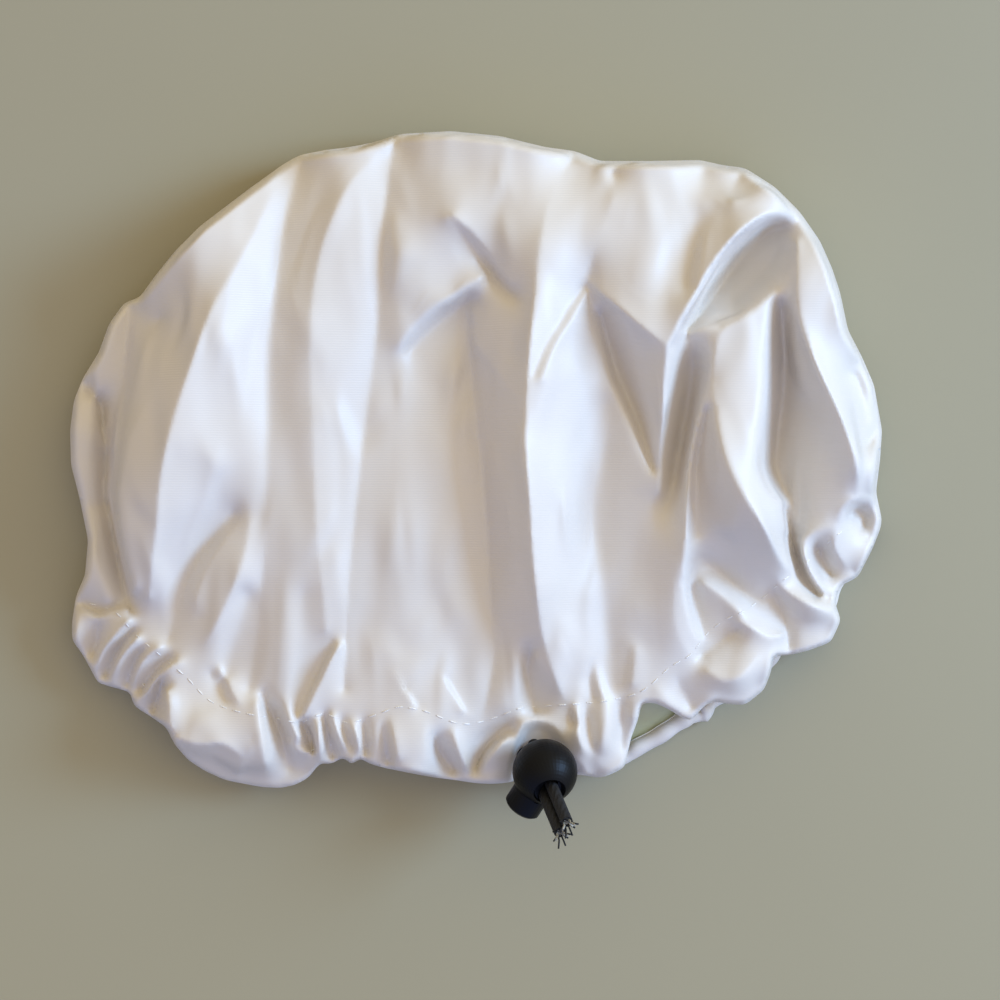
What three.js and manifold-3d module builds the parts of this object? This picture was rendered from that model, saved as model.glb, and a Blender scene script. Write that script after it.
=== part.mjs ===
// A satin hair bonnet with a drawcord hem and a ball cord lock, lying on its back on a table.
// Millimetres. +X runs across the crown, +Y from the hem to the top of the crown, +Z up from the table.
// The origin is on the table, under the middle of the crown.

import * as THREE from "three";
import { mergeVertices } from "three/addons/utils/BufferGeometryUtils.js";
import Module from "manifold-3d";

const wasm = await Module();
wasm.setup();

// Crown as it lies
const crownHalfWidth = 119;
const crownLength = 174;
const frontSeamY = -70;
const rimHeight = 11;
const rimUnderInset = 6;
const backEdgeInset = 15;
const backEdgeHeight = 3;

// Cloth
const satinThickness = 0.8;
const liningThickness = 0.6;
const layerGap = 0.5;

// Drawcord casing along the hem
const casingWidth = 18;
const casingDepth = 7.6;
const puckerAcross = 0.1;
const puckerDepth = 0.12;
const cornerDepth = 0.1;
const frontHemHeight = 21;
const lockDip = 9;
const lockDipReach = 24;
const backHemReach = 3;
const hemTurn = 7;
const threadDiameter = 0.5;
const topstitchLift = 1.6;
const edgeSeamAngle = 211;
const edgeSeamHalfGap = 10;

// Drawcord
const cordDiameter = 3.6;
const coreDiameter = 2.3;
const coreGap = 0.3;
const cordEndGap = 0.5;
const tailLength = 15;

// Cord lock
const ballDiameter = 19;
const plungerDiameter = 11;
const plungerGap = 0.2;
const plungerStandout = 4.8;
const plungerTravel = 2.2;
const strandGap = 0.3;
const slotWallInside = 1.2;
const boreFloor = 1.2;
const mouthDepth = 1.2;
const springWire = 0.5;
const springDiameter = 6;
const springTurns = 2.5;
const springGap = 0.3;
const mouthDiameter = 10;
const lockCentre = new THREE.Vector3(20.3, -83.6, 26);
const cordAxis = new THREE.Vector3(0.24, -0.52, 0.82).normalize();
const plungerAxis = new THREE.Vector3(-0.49, -0.79, -0.36).projectOnPlane(cordAxis).normalize();

// Outlines seen from above: shares of crownHalfWidth across, of crownLength up from the front seam
const rimOutline = [
  [-0.91, 0.224], [-1.0, 0.46], [-0.908, 0.667], [-0.69, 0.84], [-0.48, 0.951], [-0.067, 1.0],
  [0.31, 0.96], [0.672, 0.945], [0.887, 0.764], [1.0, 0.471], [0.915, 0.333],
];
const seamOutline = [
  [-0.91, 0.224], [-0.84, 0.132], [-0.68, 0.057], [-0.504, 0.011], [-0.126, 0.003], [0.286, 0.006],
  [0.487, 0.092], [0.664, 0.184], [0.824, 0.259], [0.915, 0.333],
];

// Columns of the front, from left to right: where each starts along the seam and ends along the rim,
// and how far it bows sideways
const frontColumns = [
  { hem: 0.055, rim: 0.18, bow: 0 },
  { hem: 0.10, rim: 0.37, bow: -7 },
  { hem: 0.23, rim: 0.405, bow: -3 },
  { hem: 0.313, rim: 0.45, bow: -8 },
  { hem: 0.355, rim: 0.472, bow: -4 },
  { hem: 0.43, rim: 0.507, bow: 0 },
  { hem: 0.51, rim: 0.556, bow: -3 },
  { hem: 0.58, rim: 0.588, bow: -7 },
  { hem: 0.65, rim: 0.62, bow: -2 },
  { hem: 0.73, rim: 0.669, bow: 3 },
  { hem: 0.785, rim: 0.711, bow: 2 },
  { hem: 0.89, rim: 0.78, bow: 4 },
  { hem: 0.955, rim: 0.855, bow: 3 },
];
const columnsBetween = 2;

// Main folds of the front: points of each crest, valley or swell, across, up and above the table
const foldLines = [
  [[-104, 50, 16], [-109, 34, 16], [-110, 12, 13]],
  [[-91, 48, 25], [-100, 27, 29], [-104, -2, 28], [-99, -30, 24]],
  [[-55, 93, 18], [-65, 71, 30], [-77, 50, 36], [-84, 30, 38], [-90, 10, 38], [-92, -10, 35], [-95, -33, 26]],
  [[-50, 94, 18], [-56, 68, 25], [-59, 42, 29], [-60, 1, 29], [-63, -36, 24], [-66, -60, 21]],
  [[-76, -15, 22], [-85, -29, 20], [-89, -45, 19]],
  [[-67, -19, 29], [-72, -35, 28], [-79, -47, 23]],
  [[-24, 99, 22], [-36, 87, 28], [-46, 63, 31], [-48, 39, 31], [-47, 10, 31], [-46, -19, 30], [-43, -42, 26]],
  [[-25, 93, 24], [-27, 65, 27], [-32, 19, 27], [-37, -28, 26], [-38, -60, 23]],
  [[-18, 27, 28], [-15, 7, 29], [-16, -28, 28], [-20, -60, 24]],
  [[-21, 76, 31], [-21, 58, 32]],
  [[2, 60, 32], [-11, 52, 32], [-22, 40, 29]],
  [[-13, 93, 27], [11, 85, 33]],
  [[-2, 52, 25], [-1, 30, 24], [1, 10, 24], [4, -22, 24], [5, -48, 22], [2, -66, 19]],
  [[29, 96, 22], [21, 81, 36], [18, 62, 41], [14, 24, 46], [14, 10, 46], [16, -22, 42], [20, -48, 31], [26, -64, 21]],
  [[40, 91, 27], [37, 77, 36], [32, 60, 34]],
  [[26, 24, 38], [27, 10, 37], [28, -22, 32], [33, -54, 22]],
  [[36, 43, 30], [42, 24, 28], [48, 10, 26], [53, -2, 24]],
  [[49, -9, 22], [44, -22, 22], [43, -45, 20], [42, -60, 19]],
  [[32, 58, 34], [47, 46, 41], [55, 40, 41], [54, 21, 38], [53, 4, 30]],
  [[50, 82, 35], [49, 59, 39]],
  [[55, 40, 41], [66, 59, 42], [78, 74, 40], [89, 78, 33]],
  [[66, 52, 22], [74, 63, 20], [85, 74, 21]],
  [[62, 39, 27], [60, 16, 21], [56, -6, 21]],
  [[71, 45, 39], [67, 30, 38], [62, 8, 35], [61, -18, 32], [62, -39, 25]],
  [[68, 29, 39], [75, 2, 43], [85, -14, 39], [90, -25, 28]],
  [[86, 54, 33], [83, 24, 37], [82, 3, 37], [89, -13, 29]],
  [[89, 45, 24], [88, 24, 20], [86, 4, 20], [93, -11, 20]],
  [[93, 71, 32], [93, 50, 37], [100, 32, 38], [107, 16, 36], [110, -3, 27]],
  [[96, 24, 27], [98, -7, 25]],
  [[62, -19, 24], [76, -30, 20], [83, -34, 20]],
];
const filmCell = 2.5;
const filmRounds = 600;
const filmStart = 25;
const steepestRim = 1.25;
const steepestHem = 1;
const hemBlend = 0.2;
const frontRows = [0, 0.07, 0.15, 0.25, 0.35, 0.46, 0.57, 0.68, 0.79, 0.89];
const shoulderRow = 0.965;
const shoulderShare = 0.62;
const backRows = [0.5, 0.78];

// Materials
const satinWhite = new THREE.MeshStandardMaterial({ color: "#e2e2e6", roughness: 0.38, metalness: 0 });
const satinSage = new THREE.MeshStandardMaterial({ color: "#b4b294", roughness: 0.4, metalness: 0 });
const threadWhite = new THREE.MeshStandardMaterial({ color: "#e6e6ea", roughness: 0.5, metalness: 0 });
const braidBlack = new THREE.MeshStandardMaterial({ color: "#141517", roughness: 0.85, metalness: 0 });
const rubberPale = new THREE.MeshStandardMaterial({ color: "#d9d8d2", roughness: 0.6, metalness: 0 });
const plasticBlack = new THREE.MeshStandardMaterial({ color: "#141719", roughness: 0.32, metalness: 0 });
const steel = new THREE.MeshStandardMaterial({ color: "#b9bcc0", roughness: 0.3, metalness: 1 });

const bonnet = new THREE.Group();
bonnet.name = "satin_hair_bonnet";

function addPiece(name, geometry, material) {
  const mesh = new THREE.Mesh(geometry, material);
  mesh.name = name;
  bonnet.add(mesh);
}

// Solids from and to the boolean library
function toSolid(geometry) {
  const bare = new THREE.BufferGeometry();
  bare.setAttribute("position", geometry.getAttribute("position").clone());
  if (geometry.index) {
    bare.setIndex(geometry.index.clone());
  }
  const welded = mergeVertices(bare, 1e-4);
  return new wasm.Manifold(new wasm.Mesh({
    numProp: 3,
    vertProperties: new Float32Array(welded.getAttribute("position").array),
    triVerts: new Uint32Array(welded.index.array),
  }));
}

function toGeometry(solid) {
  const mesh = solid.getMesh();
  const geometry = new THREE.BufferGeometry();
  geometry.setAttribute("position", new THREE.BufferAttribute(new Float32Array(mesh.vertProperties), 3));
  geometry.setIndex(new THREE.BufferAttribute(new Uint32Array(mesh.triVerts), 1));
  geometry.computeVertexNormals();
  return geometry;
}

// Hem and rim curves in plan
function planCurve(outline) {
  const points = outline.map(([across, up]) => new THREE.Vector3(
    across * crownHalfWidth, frontSeamY + up * crownLength, 0));
  return new THREE.CatmullRomCurve3(points, false, "centripetal");
}

const rimCurve = planCurve(rimOutline);
const seamCurve = planCurve(seamOutline);
const seamLength = seamCurve.getLength();
const backHemHeight = casingDepth / 2;

function outwardNormal(curve, share, turn) {
  const tangent = curve.getTangentAt(share);
  return new THREE.Vector3(tangent.y * turn, -tangent.x * turn, 0).normalize();
}

function cornerDistance(share) {
  return Math.min(share, 1 - share) * seamLength;
}

// Where along the seam the cord lock sits
let lockShare = 0;
let lockMiss = Infinity;
for (let step = 0; step <= 400; step += 1) {
  const miss = Math.abs(seamCurve.getPointAt(step / 400).x - lockCentre.x);
  if (miss < lockMiss) {
    lockMiss = miss;
    lockShare = step / 400;
  }
}

function frontHemZ(share) {
  const rise = (frontHemHeight - rimHeight) * (1 - Math.exp(-cornerDistance(share) / hemTurn));
  const offset = (share - lockShare) * seamLength / lockDipReach;
  return rimHeight + rise - lockDip * Math.exp(-offset * offset);
}

function backHemZ(share) {
  return backHemHeight + (rimHeight - backHemHeight) * Math.exp(-3.3 * cornerDistance(share) / hemTurn);
}

// Columns of the body: the two corners, the named columns and a few between neighbours
const corner = (share) => ({ hem: share, rim: share, bow: 0 });
const mainColumns = [corner(0), ...frontColumns, corner(1)];
const columns = [];
mainColumns.forEach((column, index) => {
  for (let step = 1; index > 0 && step <= columnsBetween; step += 1) {
    const before = mainColumns[index - 1];
    const share = step / (columnsBetween + 1);
    columns.push({
      hem: THREE.MathUtils.lerp(before.hem, column.hem, share),
      rim: THREE.MathUtils.lerp(before.rim, column.rim, share),
      bow: THREE.MathUtils.lerp(before.bow, column.bow, share),
    });
  }
  columns.push(column);
});
const lastColumn = columns.length - 1;

// The front settles between its fold lines like a stretched film, solved on a grid of cells
const filmWidth = Math.ceil(2 * (crownHalfWidth + 10) / filmCell);
const filmDepth = Math.ceil((crownLength + 20) / filmCell);
const filmLeft = -filmWidth * filmCell / 2;
const filmNear = frontSeamY - 10;
const film = new Float64Array(filmWidth * filmDepth).fill(filmStart);
const pinned = new Uint8Array(filmWidth * filmDepth);

function filmIndex(column, row) {
  const across = THREE.MathUtils.clamp(column, 0, filmWidth - 1);
  const deep = THREE.MathUtils.clamp(row, 0, filmDepth - 1);
  return deep * filmWidth + across;
}

for (const line of foldLines) {
  for (let index = 0; index + 1 < line.length; index += 1) {
    const start = new THREE.Vector3(...line[index]);
    const finish = new THREE.Vector3(...line[index + 1]);
    const steps = Math.ceil(start.distanceTo(finish));
    for (let step = 0; step <= steps; step += 1) {
      const point = start.clone().lerp(finish, step / steps);
      const place = filmIndex(
        Math.floor((point.x - filmLeft) / filmCell), Math.floor((point.y - filmNear) / filmCell));
      film[place] = point.z;
      pinned[place] = 1;
    }
  }
}
for (let round = 0; round < filmRounds; round += 1) {
  for (let row = 0; row < filmDepth; row += 1) {
    for (let column = 0; column < filmWidth; column += 1) {
      const place = filmIndex(column, row);
      if (!pinned[place]) {
        film[place] = (film[filmIndex(column - 1, row)] + film[filmIndex(column + 1, row)]
          + film[filmIndex(column, row - 1)] + film[filmIndex(column, row + 1)]) / 4;
      }
    }
  }
}

function filmHeight(x, y) {
  const across = (x - filmLeft) / filmCell - 0.5;
  const deep = (y - filmNear) / filmCell - 0.5;
  const column = Math.floor(across);
  const row = Math.floor(deep);
  const near = THREE.MathUtils.lerp(
    film[filmIndex(column, row)], film[filmIndex(column + 1, row)], across - column);
  const far = THREE.MathUtils.lerp(
    film[filmIndex(column, row + 1)], film[filmIndex(column + 1, row + 1)], across - column);
  return THREE.MathUtils.lerp(near, far, deep - row);
}

// Distance in plan from a point to a curve
function planDistance(curve, point) {
  return Math.min(...curve.getSpacedPoints(120).map((other) => Math.hypot(other.x - point.x, other.y - point.y)));
}

function foldHeight(column, share, point) {
  const hemZ = frontHemZ(column.hem);
  const highest = Math.min(
    rimHeight + steepestRim * planDistance(rimCurve, point), hemZ + steepestHem * planDistance(seamCurve, point));
  const settled = Math.min(filmHeight(point.x, point.y), highest);
  const blend = THREE.MathUtils.smoothstep(share, 0, hemBlend);
  return THREE.MathUtils.lerp(hemZ, settled, blend);
}

// One column of the body: points from the front seam over the rim to the back seam, each with its inward direction
const down = new THREE.Vector3(0, 0, -1);
const up = new THREE.Vector3(0, 0, 1);

function backSeamPoint(share) {
  const point = seamCurve.getPointAt(share);
  point.y -= backHemReach * Math.sin(Math.PI * share);
  point.z = backHemZ(share);
  return point;
}

function columnPoints(column) {
  const seam = seamCurve.getPointAt(column.hem);
  const rim = rimCurve.getPointAt(column.rim);
  const normal = outwardNormal(rimCurve, column.rim, -1);
  const inward = normal.clone().negate();
  const sideways = new THREE.Vector3(rim.y - seam.y, seam.x - rim.x, 0).normalize();
  const slant = Math.exp(-cornerDistance(column.hem) / (2 * hemTurn));
  const inwardDown = inward.clone().multiplyScalar(slant).add(down).normalize();
  const inwardUp = inward.clone().multiplyScalar(slant).add(up).normalize();
  const rows = [];
  for (const share of frontRows) {
    const point = seam.clone().lerp(rim, share);
    point.addScaledVector(sideways, column.bow * Math.sin(Math.PI * share));
    point.z = foldHeight(column, share, point);
    rows.push({ point, inside: inwardDown });
  }
  const shoulder = seam.clone().lerp(rim, shoulderRow);
  shoulder.addScaledVector(sideways, column.bow * Math.sin(Math.PI * shoulderRow));
  const top = rows.at(-1).point.z;
  const rimZ = Math.min(rimHeight, top / 2);
  shoulder.z = rimZ + shoulderShare * (top - rimZ);
  rows.push({ point: shoulder, inside: inward.clone().multiplyScalar(0.55).add(down).normalize() });
  const edge = rim.clone();
  edge.z = rimZ;
  rows.push({ point: edge, inside: inward });
  const backSeam = backSeamPoint(column.hem);
  const backLength = Math.hypot(backSeam.x - rim.x, backSeam.y - rim.y);
  const underShare = Math.min(rimUnderInset / backLength, 0.15);
  const backShare = Math.min(backEdgeInset / backLength, 0.35);
  const under = rim.clone().lerp(backSeam, underShare);
  under.z = Math.min(backEdgeHeight, rimZ / 3);
  rows.push({ point: under, inside: inward.clone().multiplyScalar(0.55).add(up).normalize() });
  for (const share of [backShare, ...backRows]) {
    const point = rim.clone().lerp(backSeam, share);
    point.z = 0;
    rows.push({ point, inside: inwardUp });
  }
  return rows;
}

// Frame of the casing at a place on the hem loop: seam point, direction away from the crown, outside direction
function hemFrame(share, isFront) {
  const point = isFront ? seamCurve.getPointAt(share) : backSeamPoint(share);
  if (isFront) {
    point.z = frontHemZ(share);
  }
  const away = outwardNormal(seamCurve, share, 1);
  const sideTurn = share < 0.5 ? 1 : -1;
  const side = new THREE.Vector3(away.y * sideTurn, -away.x * sideTurn, 0);
  const lean = Math.PI / 2 * Math.exp(-2.2 * cornerDistance(share) / hemTurn);
  const outside = new THREE.Vector3(0, 0, isFront ? 1 : -1).multiplyScalar(Math.cos(lean));
  outside.addScaledVector(side, Math.sin(lean)).normalize();
  const cornering = Math.exp(-cornerDistance(share) / hemTurn);
  return { point, away, outside, cornering };
}

const hemLoop = [];
columns.forEach((column, index) => hemLoop.push({ ...hemFrame(column.hem, true), column: index, back: false }));
for (let index = lastColumn - 1; index > 0; index -= 1) {
  hemLoop.push({ ...hemFrame(columns[index].hem, false), column: index, back: true });
}
hemLoop.forEach((place, index) => {
  const sign = index % 2 ? -1 : 1;
  place.halfAcross = casingWidth / 2 * (1 + sign * puckerAcross);
  const pucker = place.back ? 0 : sign * puckerDepth;
  place.halfDeep = casingDepth / 2 * (1 + pucker + cornerDepth * place.cornering);
  place.centre = place.point.clone().addScaledVector(place.away, place.halfAcross);
});

// A point of the casing ring, at an angle from the seam over the outside, in from the ring by a depth
function ringPoint(place, degrees, depth) {
  const angle = THREE.MathUtils.degToRad(degrees);
  const point = place.centre.clone();
  point.addScaledVector(place.away, -(place.halfAcross - depth) * Math.cos(angle));
  point.addScaledVector(place.outside, (place.halfDeep - depth) * Math.sin(angle));
  return point;
}

// A closed cloth layer: the body between two depths and its wall of the casing between two depths
function clothLayer(bodyDepths, ringAngles, ringDepths) {
  const positions = [];
  const triangles = [];
  const bodyRows = columns.slice(1, lastColumn).map(columnPoints);
  const rowCount = bodyRows[0].length + 1;
  const sides = [0, 1].map((side) => {
    const add = (point) => {
      positions.push(point.x, point.y, point.z);
      return positions.length / 3 - 1;
    };
    const seam = hemLoop.map((place) => add(
      place.point.clone().addScaledVector(place.outside, -bodyDepths[side])));
    const rings = ringAngles.map((degrees) => hemLoop.map((place) => add(
      ringPoint(place, degrees, ringDepths[side]))));
    const seamAt = (column, back) => (back ? seam[2 * lastColumn - column] : seam[column]);
    const grid = columns.map((column, index) => {
      if (index === 0 || index === lastColumn) {
        return Array(rowCount).fill(seam[index]);
      }
      const inner = bodyRows[index - 1].slice(1).map(({ point, inside }) => add(
        point.clone().addScaledVector(inside, bodyDepths[side])));
      return [seamAt(index, false), ...inner, seamAt(index, true)];
    });
    return { grid, loops: [seam, ...rings] };
  });
  const face = (a, b, c, flip) => {
    if (a !== b && b !== c && c !== a) {
      triangles.push(...(flip ? [a, c, b] : [a, b, c]));
    }
  };
  const quad = (a, b, c, d, flip) => {
    face(a, b, c, flip);
    face(a, c, d, flip);
  };
  sides.forEach(({ grid, loops }, side) => {
    for (let index = 0; index < lastColumn; index += 1) {
      for (let row = 0; row + 1 < rowCount; row += 1) {
        quad(grid[index][row], grid[index + 1][row], grid[index + 1][row + 1], grid[index][row + 1], side === 1);
      }
    }
    for (let ring = 0; ring + 1 < loops.length; ring += 1) {
      for (let index = 0; index < hemLoop.length; index += 1) {
        const next = (index + 1) % hemLoop.length;
        quad(loops[ring][next], loops[ring][index], loops[ring + 1][index], loops[ring + 1][next], side === 1);
      }
    }
  });
  const outer = sides[0].loops.at(-1);
  const inner = sides[1].loops.at(-1);
  for (let index = 0; index < hemLoop.length; index += 1) {
    const next = (index + 1) % hemLoop.length;
    quad(outer[next], outer[index], inner[index], inner[next], false);
  }
  const geometry = new THREE.BufferGeometry();
  geometry.setAttribute("position", new THREE.Float32BufferAttribute(positions, 3));
  geometry.setIndex(triangles);
  return geometry;
}

// Cord lock pieces, made with the cord along local +Y and the plunger along local +Z
const ballRadius = ballDiameter / 2;
const cordRadius = cordDiameter / 2;
const strandPitch = cordDiameter + strandGap;
const slotHalfWidth = cordRadius + strandGap;
const boreRadius = plungerDiameter / 2 + plungerGap;
const strandNear = -0.2;
const strandFar = strandNear + strandPitch;
const slotStart = strandNear - cordRadius - strandGap;
const slotEnd = strandFar + cordRadius + strandGap;
const plungerInner = slotStart - slotWallInside;
const plungerOuter = ballRadius + plungerStandout;
const pocketBottom = -(ballRadius - boreFloor);
const pocketRadius = springDiameter / 2 + springGap;
const boreShelf = plungerInner - plungerTravel - springGap;
const lockFrame = new THREE.Matrix4().makeBasis(
  new THREE.Vector3().crossVectors(cordAxis, plungerAxis), cordAxis, plungerAxis);
lockFrame.setPosition(lockCentre);

// A bar with round ends along local +Y, long enough to cut a slot from one plunger height to another
function slotBar(halfWidth, start, end, from, to) {
  const shape = new THREE.Shape();
  shape.moveTo(-halfWidth, start + halfWidth);
  shape.absarc(0, start + halfWidth, halfWidth, Math.PI, 2 * Math.PI, false);
  shape.absarc(0, end - halfWidth, halfWidth, 0, Math.PI, false);
  shape.closePath();
  const bar = new THREE.ExtrudeGeometry(shape, { depth: to - from, bevelEnabled: false, curveSegments: 8 });
  bar.rotateX(-Math.PI / 2);
  bar.translate(0, from, 0);
  bar.scale(1, 1, -1);
  bar.setIndex(Array.from({ length: bar.getAttribute("position").count }, (_, index) => (
    index % 3 === 1 ? index + 1 : index % 3 === 2 ? index - 1 : index)));
  return bar;
}

function alongPlunger(profile, segments) {
  const lathe = new THREE.LatheGeometry(profile.map(([radius, at]) => new THREE.Vector2(radius, at)), segments);
  return lathe.rotateX(Math.PI / 2);
}

const mouthRadius = mouthDiameter / 2;
const slotMiddle = (slotStart + slotEnd) / 2;
const mouthReach = ballRadius + 1;
const cutReach = 3 * ballRadius;
const mouthFloor = Math.sqrt(ballRadius ** 2 - slotMiddle ** 2 - mouthRadius ** 2) - mouthDepth;
const mouthCone = new THREE.CylinderGeometry(mouthRadius + 1, mouthRadius - 1, mouthReach - mouthFloor, 24);
mouthCone.translate(0, (mouthReach + mouthFloor) / 2, slotMiddle);
const mouthConeBelow = mouthCone.clone().rotateZ(Math.PI);
const bore = alongPlunger([
  [0, pocketBottom], [pocketRadius, pocketBottom], [pocketRadius, boreShelf],
  [boreRadius, boreShelf], [boreRadius, cutReach], [0, cutReach],
], 32);
const barrel = toSolid(new THREE.SphereGeometry(ballRadius, 44, 28))
  .subtract(toSolid(bore))
  .subtract(toSolid(slotBar(slotHalfWidth, slotStart, slotEnd, -cutReach, cutReach)))
  .subtract(toSolid(mouthCone))
  .subtract(toSolid(mouthConeBelow));
const plungerRadius = plungerDiameter / 2;
const plungerBar = alongPlunger([
  [0, plungerInner], [plungerRadius - 0.4, plungerInner], [plungerRadius, plungerInner + 0.4],
  [plungerRadius, plungerOuter - 0.9], [plungerRadius - 0.7, plungerOuter - 0.2], [0, plungerOuter],
], 32);
const plunger = toSolid(plungerBar).subtract(toSolid(slotBar(
  slotHalfWidth, slotStart, slotEnd + plungerTravel, -cutReach, cutReach)));

// Spring between the plunger and the bottom of the bore
const springStart = pocketBottom + springGap + springWire / 2;
const springEnd = plungerInner - springGap - springWire / 2;
const springRadius = springDiameter / 2 - springWire / 2;

class Helix extends THREE.Curve {
  getPoint(share, target = new THREE.Vector3()) {
    const angle = 2 * Math.PI * springTurns * share;
    return target.set(
      springRadius * Math.cos(angle),
      springRadius * Math.sin(angle),
      THREE.MathUtils.lerp(springStart, springEnd, share),
    );
  }
}

function roundShape(radius, sides, holeRadius) {
  const corners = (size) => Array.from({ length: sides }, (_, index) => new THREE.Vector2(
    size * Math.cos(2 * Math.PI * index / sides), size * Math.sin(2 * Math.PI * index / sides)));
  const shape = new THREE.Shape(corners(radius));
  if (holeRadius > 0) {
    shape.holes.push(new THREE.Path(corners(holeRadius).reverse()));
  }
  return shape;
}

function tube(path, radius, sides, steps, holeRadius = 0) {
  return new THREE.ExtrudeGeometry(roundShape(radius, sides, holeRadius), {
    steps, bevelEnabled: false, extrudePath: path,
  });
}

const spring = tube(new Helix(), springWire / 2, 5, 8 * springTurns);
const springPitch = (springEnd - springStart) / springTurns;
console.log("least gap of the spring to itself", (springPitch - springWire).toFixed(2), "mm");

// Cord routes
function onLock(cord, plungerPlace) {
  return lockCentre.clone().addScaledVector(cordAxis, cord).addScaledVector(plungerAxis, plungerPlace);
}

function tunnelPoint(share) {
  const frame = hemFrame(share, true);
  return frame.point.addScaledVector(frame.away, casingWidth / 2);
}

const tailTop = ballRadius + tailLength;
const exitReach = 11;
const tunnelReach = 14;
const turnReach = 4;
const turnAside = 1.2;
const turnRise = 0.4;
const tunnelStep = tunnelReach / seamLength;
const farBend = onLock(-exitReach, strandFar);
const nearBend = onLock(-exitReach, strandNear);

function tailRoute(tunnelShare, bend, plungerPlace) {
  const start = tunnelPoint(tunnelShare);
  const turnPoint = bend.clone().addScaledVector(cordAxis, -turnReach);
  turnPoint.x += Math.sign(start.x - bend.x) * turnAside;
  turnPoint.z = tunnelPoint(lockShare).z + turnRise;
  const before = turnPoint.clone().lerp(start, 0.4);
  before.z = (turnPoint.z + start.z) / 2 - turnRise;
  const points = [start, tunnelPoint(THREE.MathUtils.lerp(tunnelShare, lockShare, 0.2)), before, turnPoint, bend];
  for (const share of [0.25, 0.5, 0.75, 1]) {
    points.push(onLock(THREE.MathUtils.lerp(-exitReach, tailTop, share), plungerPlace));
  }
  return new THREE.CatmullRomCurve3(points, false, "centripetal");
}

const leftTail = tailRoute(lockShare - tunnelStep, farBend, strandFar);
const rightTail = tailRoute(lockShare + tunnelStep, nearBend, strandNear);

// The loop of cord in the casing runs from beside the left tail, round the back, to beside the right tail
const loopPoints = [];
const endShare = cordEndGap / seamLength;
loopPoints.push(tunnelPoint(lockShare - tunnelStep - endShare));
const leftOfLock = hemLoop.filter((place) => (
  !place.back && columns[place.column].hem < lockShare - tunnelStep - 6 / seamLength));
const rightOfLock = hemLoop.filter((place) => (
  !place.back && columns[place.column].hem > lockShare + tunnelStep + 6 / seamLength));
const backPlaces = hemLoop.filter((place) => place.back);
leftOfLock.reverse().forEach((place) => loopPoints.push(place.centre));
backPlaces.reverse().forEach((place) => loopPoints.push(place.centre));
rightOfLock.reverse().forEach((place) => loopPoints.push(place.centre));
loopPoints.push(tunnelPoint(lockShare + tunnelStep + endShare));
const loopRoute = new THREE.CatmullRomCurve3(loopPoints, false, "centripetal");

// A closed loop of thread round the hem, through one point at each place of the hem loop
function hemThread(pointAt, sides) {
  const points = hemLoop.map(pointAt);
  const steps = points.length;
  const positions = [];
  const triangles = [];
  points.forEach((middle, step) => {
    const tangent = points[(step + 1) % steps].clone().sub(points[(step + steps - 1) % steps]);
    const first = hemLoop[step].outside.clone().projectOnPlane(tangent.normalize()).normalize();
    const second = new THREE.Vector3().crossVectors(tangent, first);
    for (let side = 0; side < sides; side += 1) {
      const angle = 2 * Math.PI * side / sides;
      const point = middle.clone()
        .addScaledVector(first, threadDiameter / 2 * Math.cos(angle))
        .addScaledVector(second, threadDiameter / 2 * Math.sin(angle));
      positions.push(point.x, point.y, point.z);
    }
  });
  for (let step = 0; step < steps; step += 1) {
    const next = (step + 1) % steps;
    for (let side = 0; side < sides; side += 1) {
      const after = (side + 1) % sides;
      triangles.push(step * sides + side, step * sides + after, next * sides + after);
      triangles.push(step * sides + side, next * sides + after, next * sides + side);
    }
  }
  const geometry = new THREE.BufferGeometry();
  geometry.setAttribute("position", new THREE.Float32BufferAttribute(positions, 3));
  geometry.setIndex(triangles);
  return geometry;
}

// Pieces
const fullDepth = satinThickness + layerGap;
const buttonhole = toSolid(slotBar(
  slotHalfWidth, slotStart, slotEnd, -2 * ballRadius, -ballRadius).applyMatrix4(lockFrame));
const outer = toSolid(clothLayer([0, satinThickness], [40, 85, 140, edgeSeamAngle - edgeSeamHalfGap], [0, satinThickness]));
const lining = toSolid(clothLayer(
  [fullDepth, fullDepth + liningThickness], [325, 270, edgeSeamAngle + edgeSeamHalfGap], [liningThickness, 0]));
addPiece("outer_crown", toGeometry(outer.subtract(buttonhole)), satinWhite);
addPiece("crown_lining", toGeometry(lining), satinSage);
addPiece("casing_topstitch", hemThread((place) => (
  place.point.clone().addScaledVector(place.outside, topstitchLift * (1 + 1.6 * place.cornering))), 5), threadWhite);
addPiece("edge_seam_thread", hemThread((place) => (
  ringPoint(place, edgeSeamAngle, satinThickness / 2)), 5), threadWhite);
addPiece("drawcord_braid", tube(loopRoute, cordRadius, 8, 66, coreDiameter / 2 + coreGap), braidBlack);
addPiece("drawcord_core", tube(loopRoute, coreDiameter / 2, 8, 66), rubberPale);
addPiece("tail_braid_left", tube(leftTail, cordRadius, 8, 26, coreDiameter / 2 + coreGap), braidBlack);
addPiece("tail_core_left", tube(leftTail, coreDiameter / 2, 8, 26), rubberPale);
addPiece("tail_braid_right", tube(rightTail, cordRadius, 8, 26, coreDiameter / 2 + coreGap), braidBlack);
addPiece("tail_core_right", tube(rightTail, coreDiameter / 2, 8, 26), rubberPale);
addPiece("lock_barrel", toGeometry(barrel).applyMatrix4(lockFrame), plasticBlack);
addPiece("lock_plunger", toGeometry(plunger).applyMatrix4(lockFrame), plasticBlack);
addPiece("lock_spring", spring.applyMatrix4(lockFrame), steel);

export default bonnet;
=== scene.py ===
# %% [markdown]
# # Satin hair bonnet
# A hair bonnet of white satin lies on its back on a table, seen from straight above.
# An elastic drawcord gathers its hem, and a ball cord lock holds the two tails of the cord.
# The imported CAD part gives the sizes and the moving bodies.
# This script gives it cloth, thread, cord and light.

import math

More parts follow.
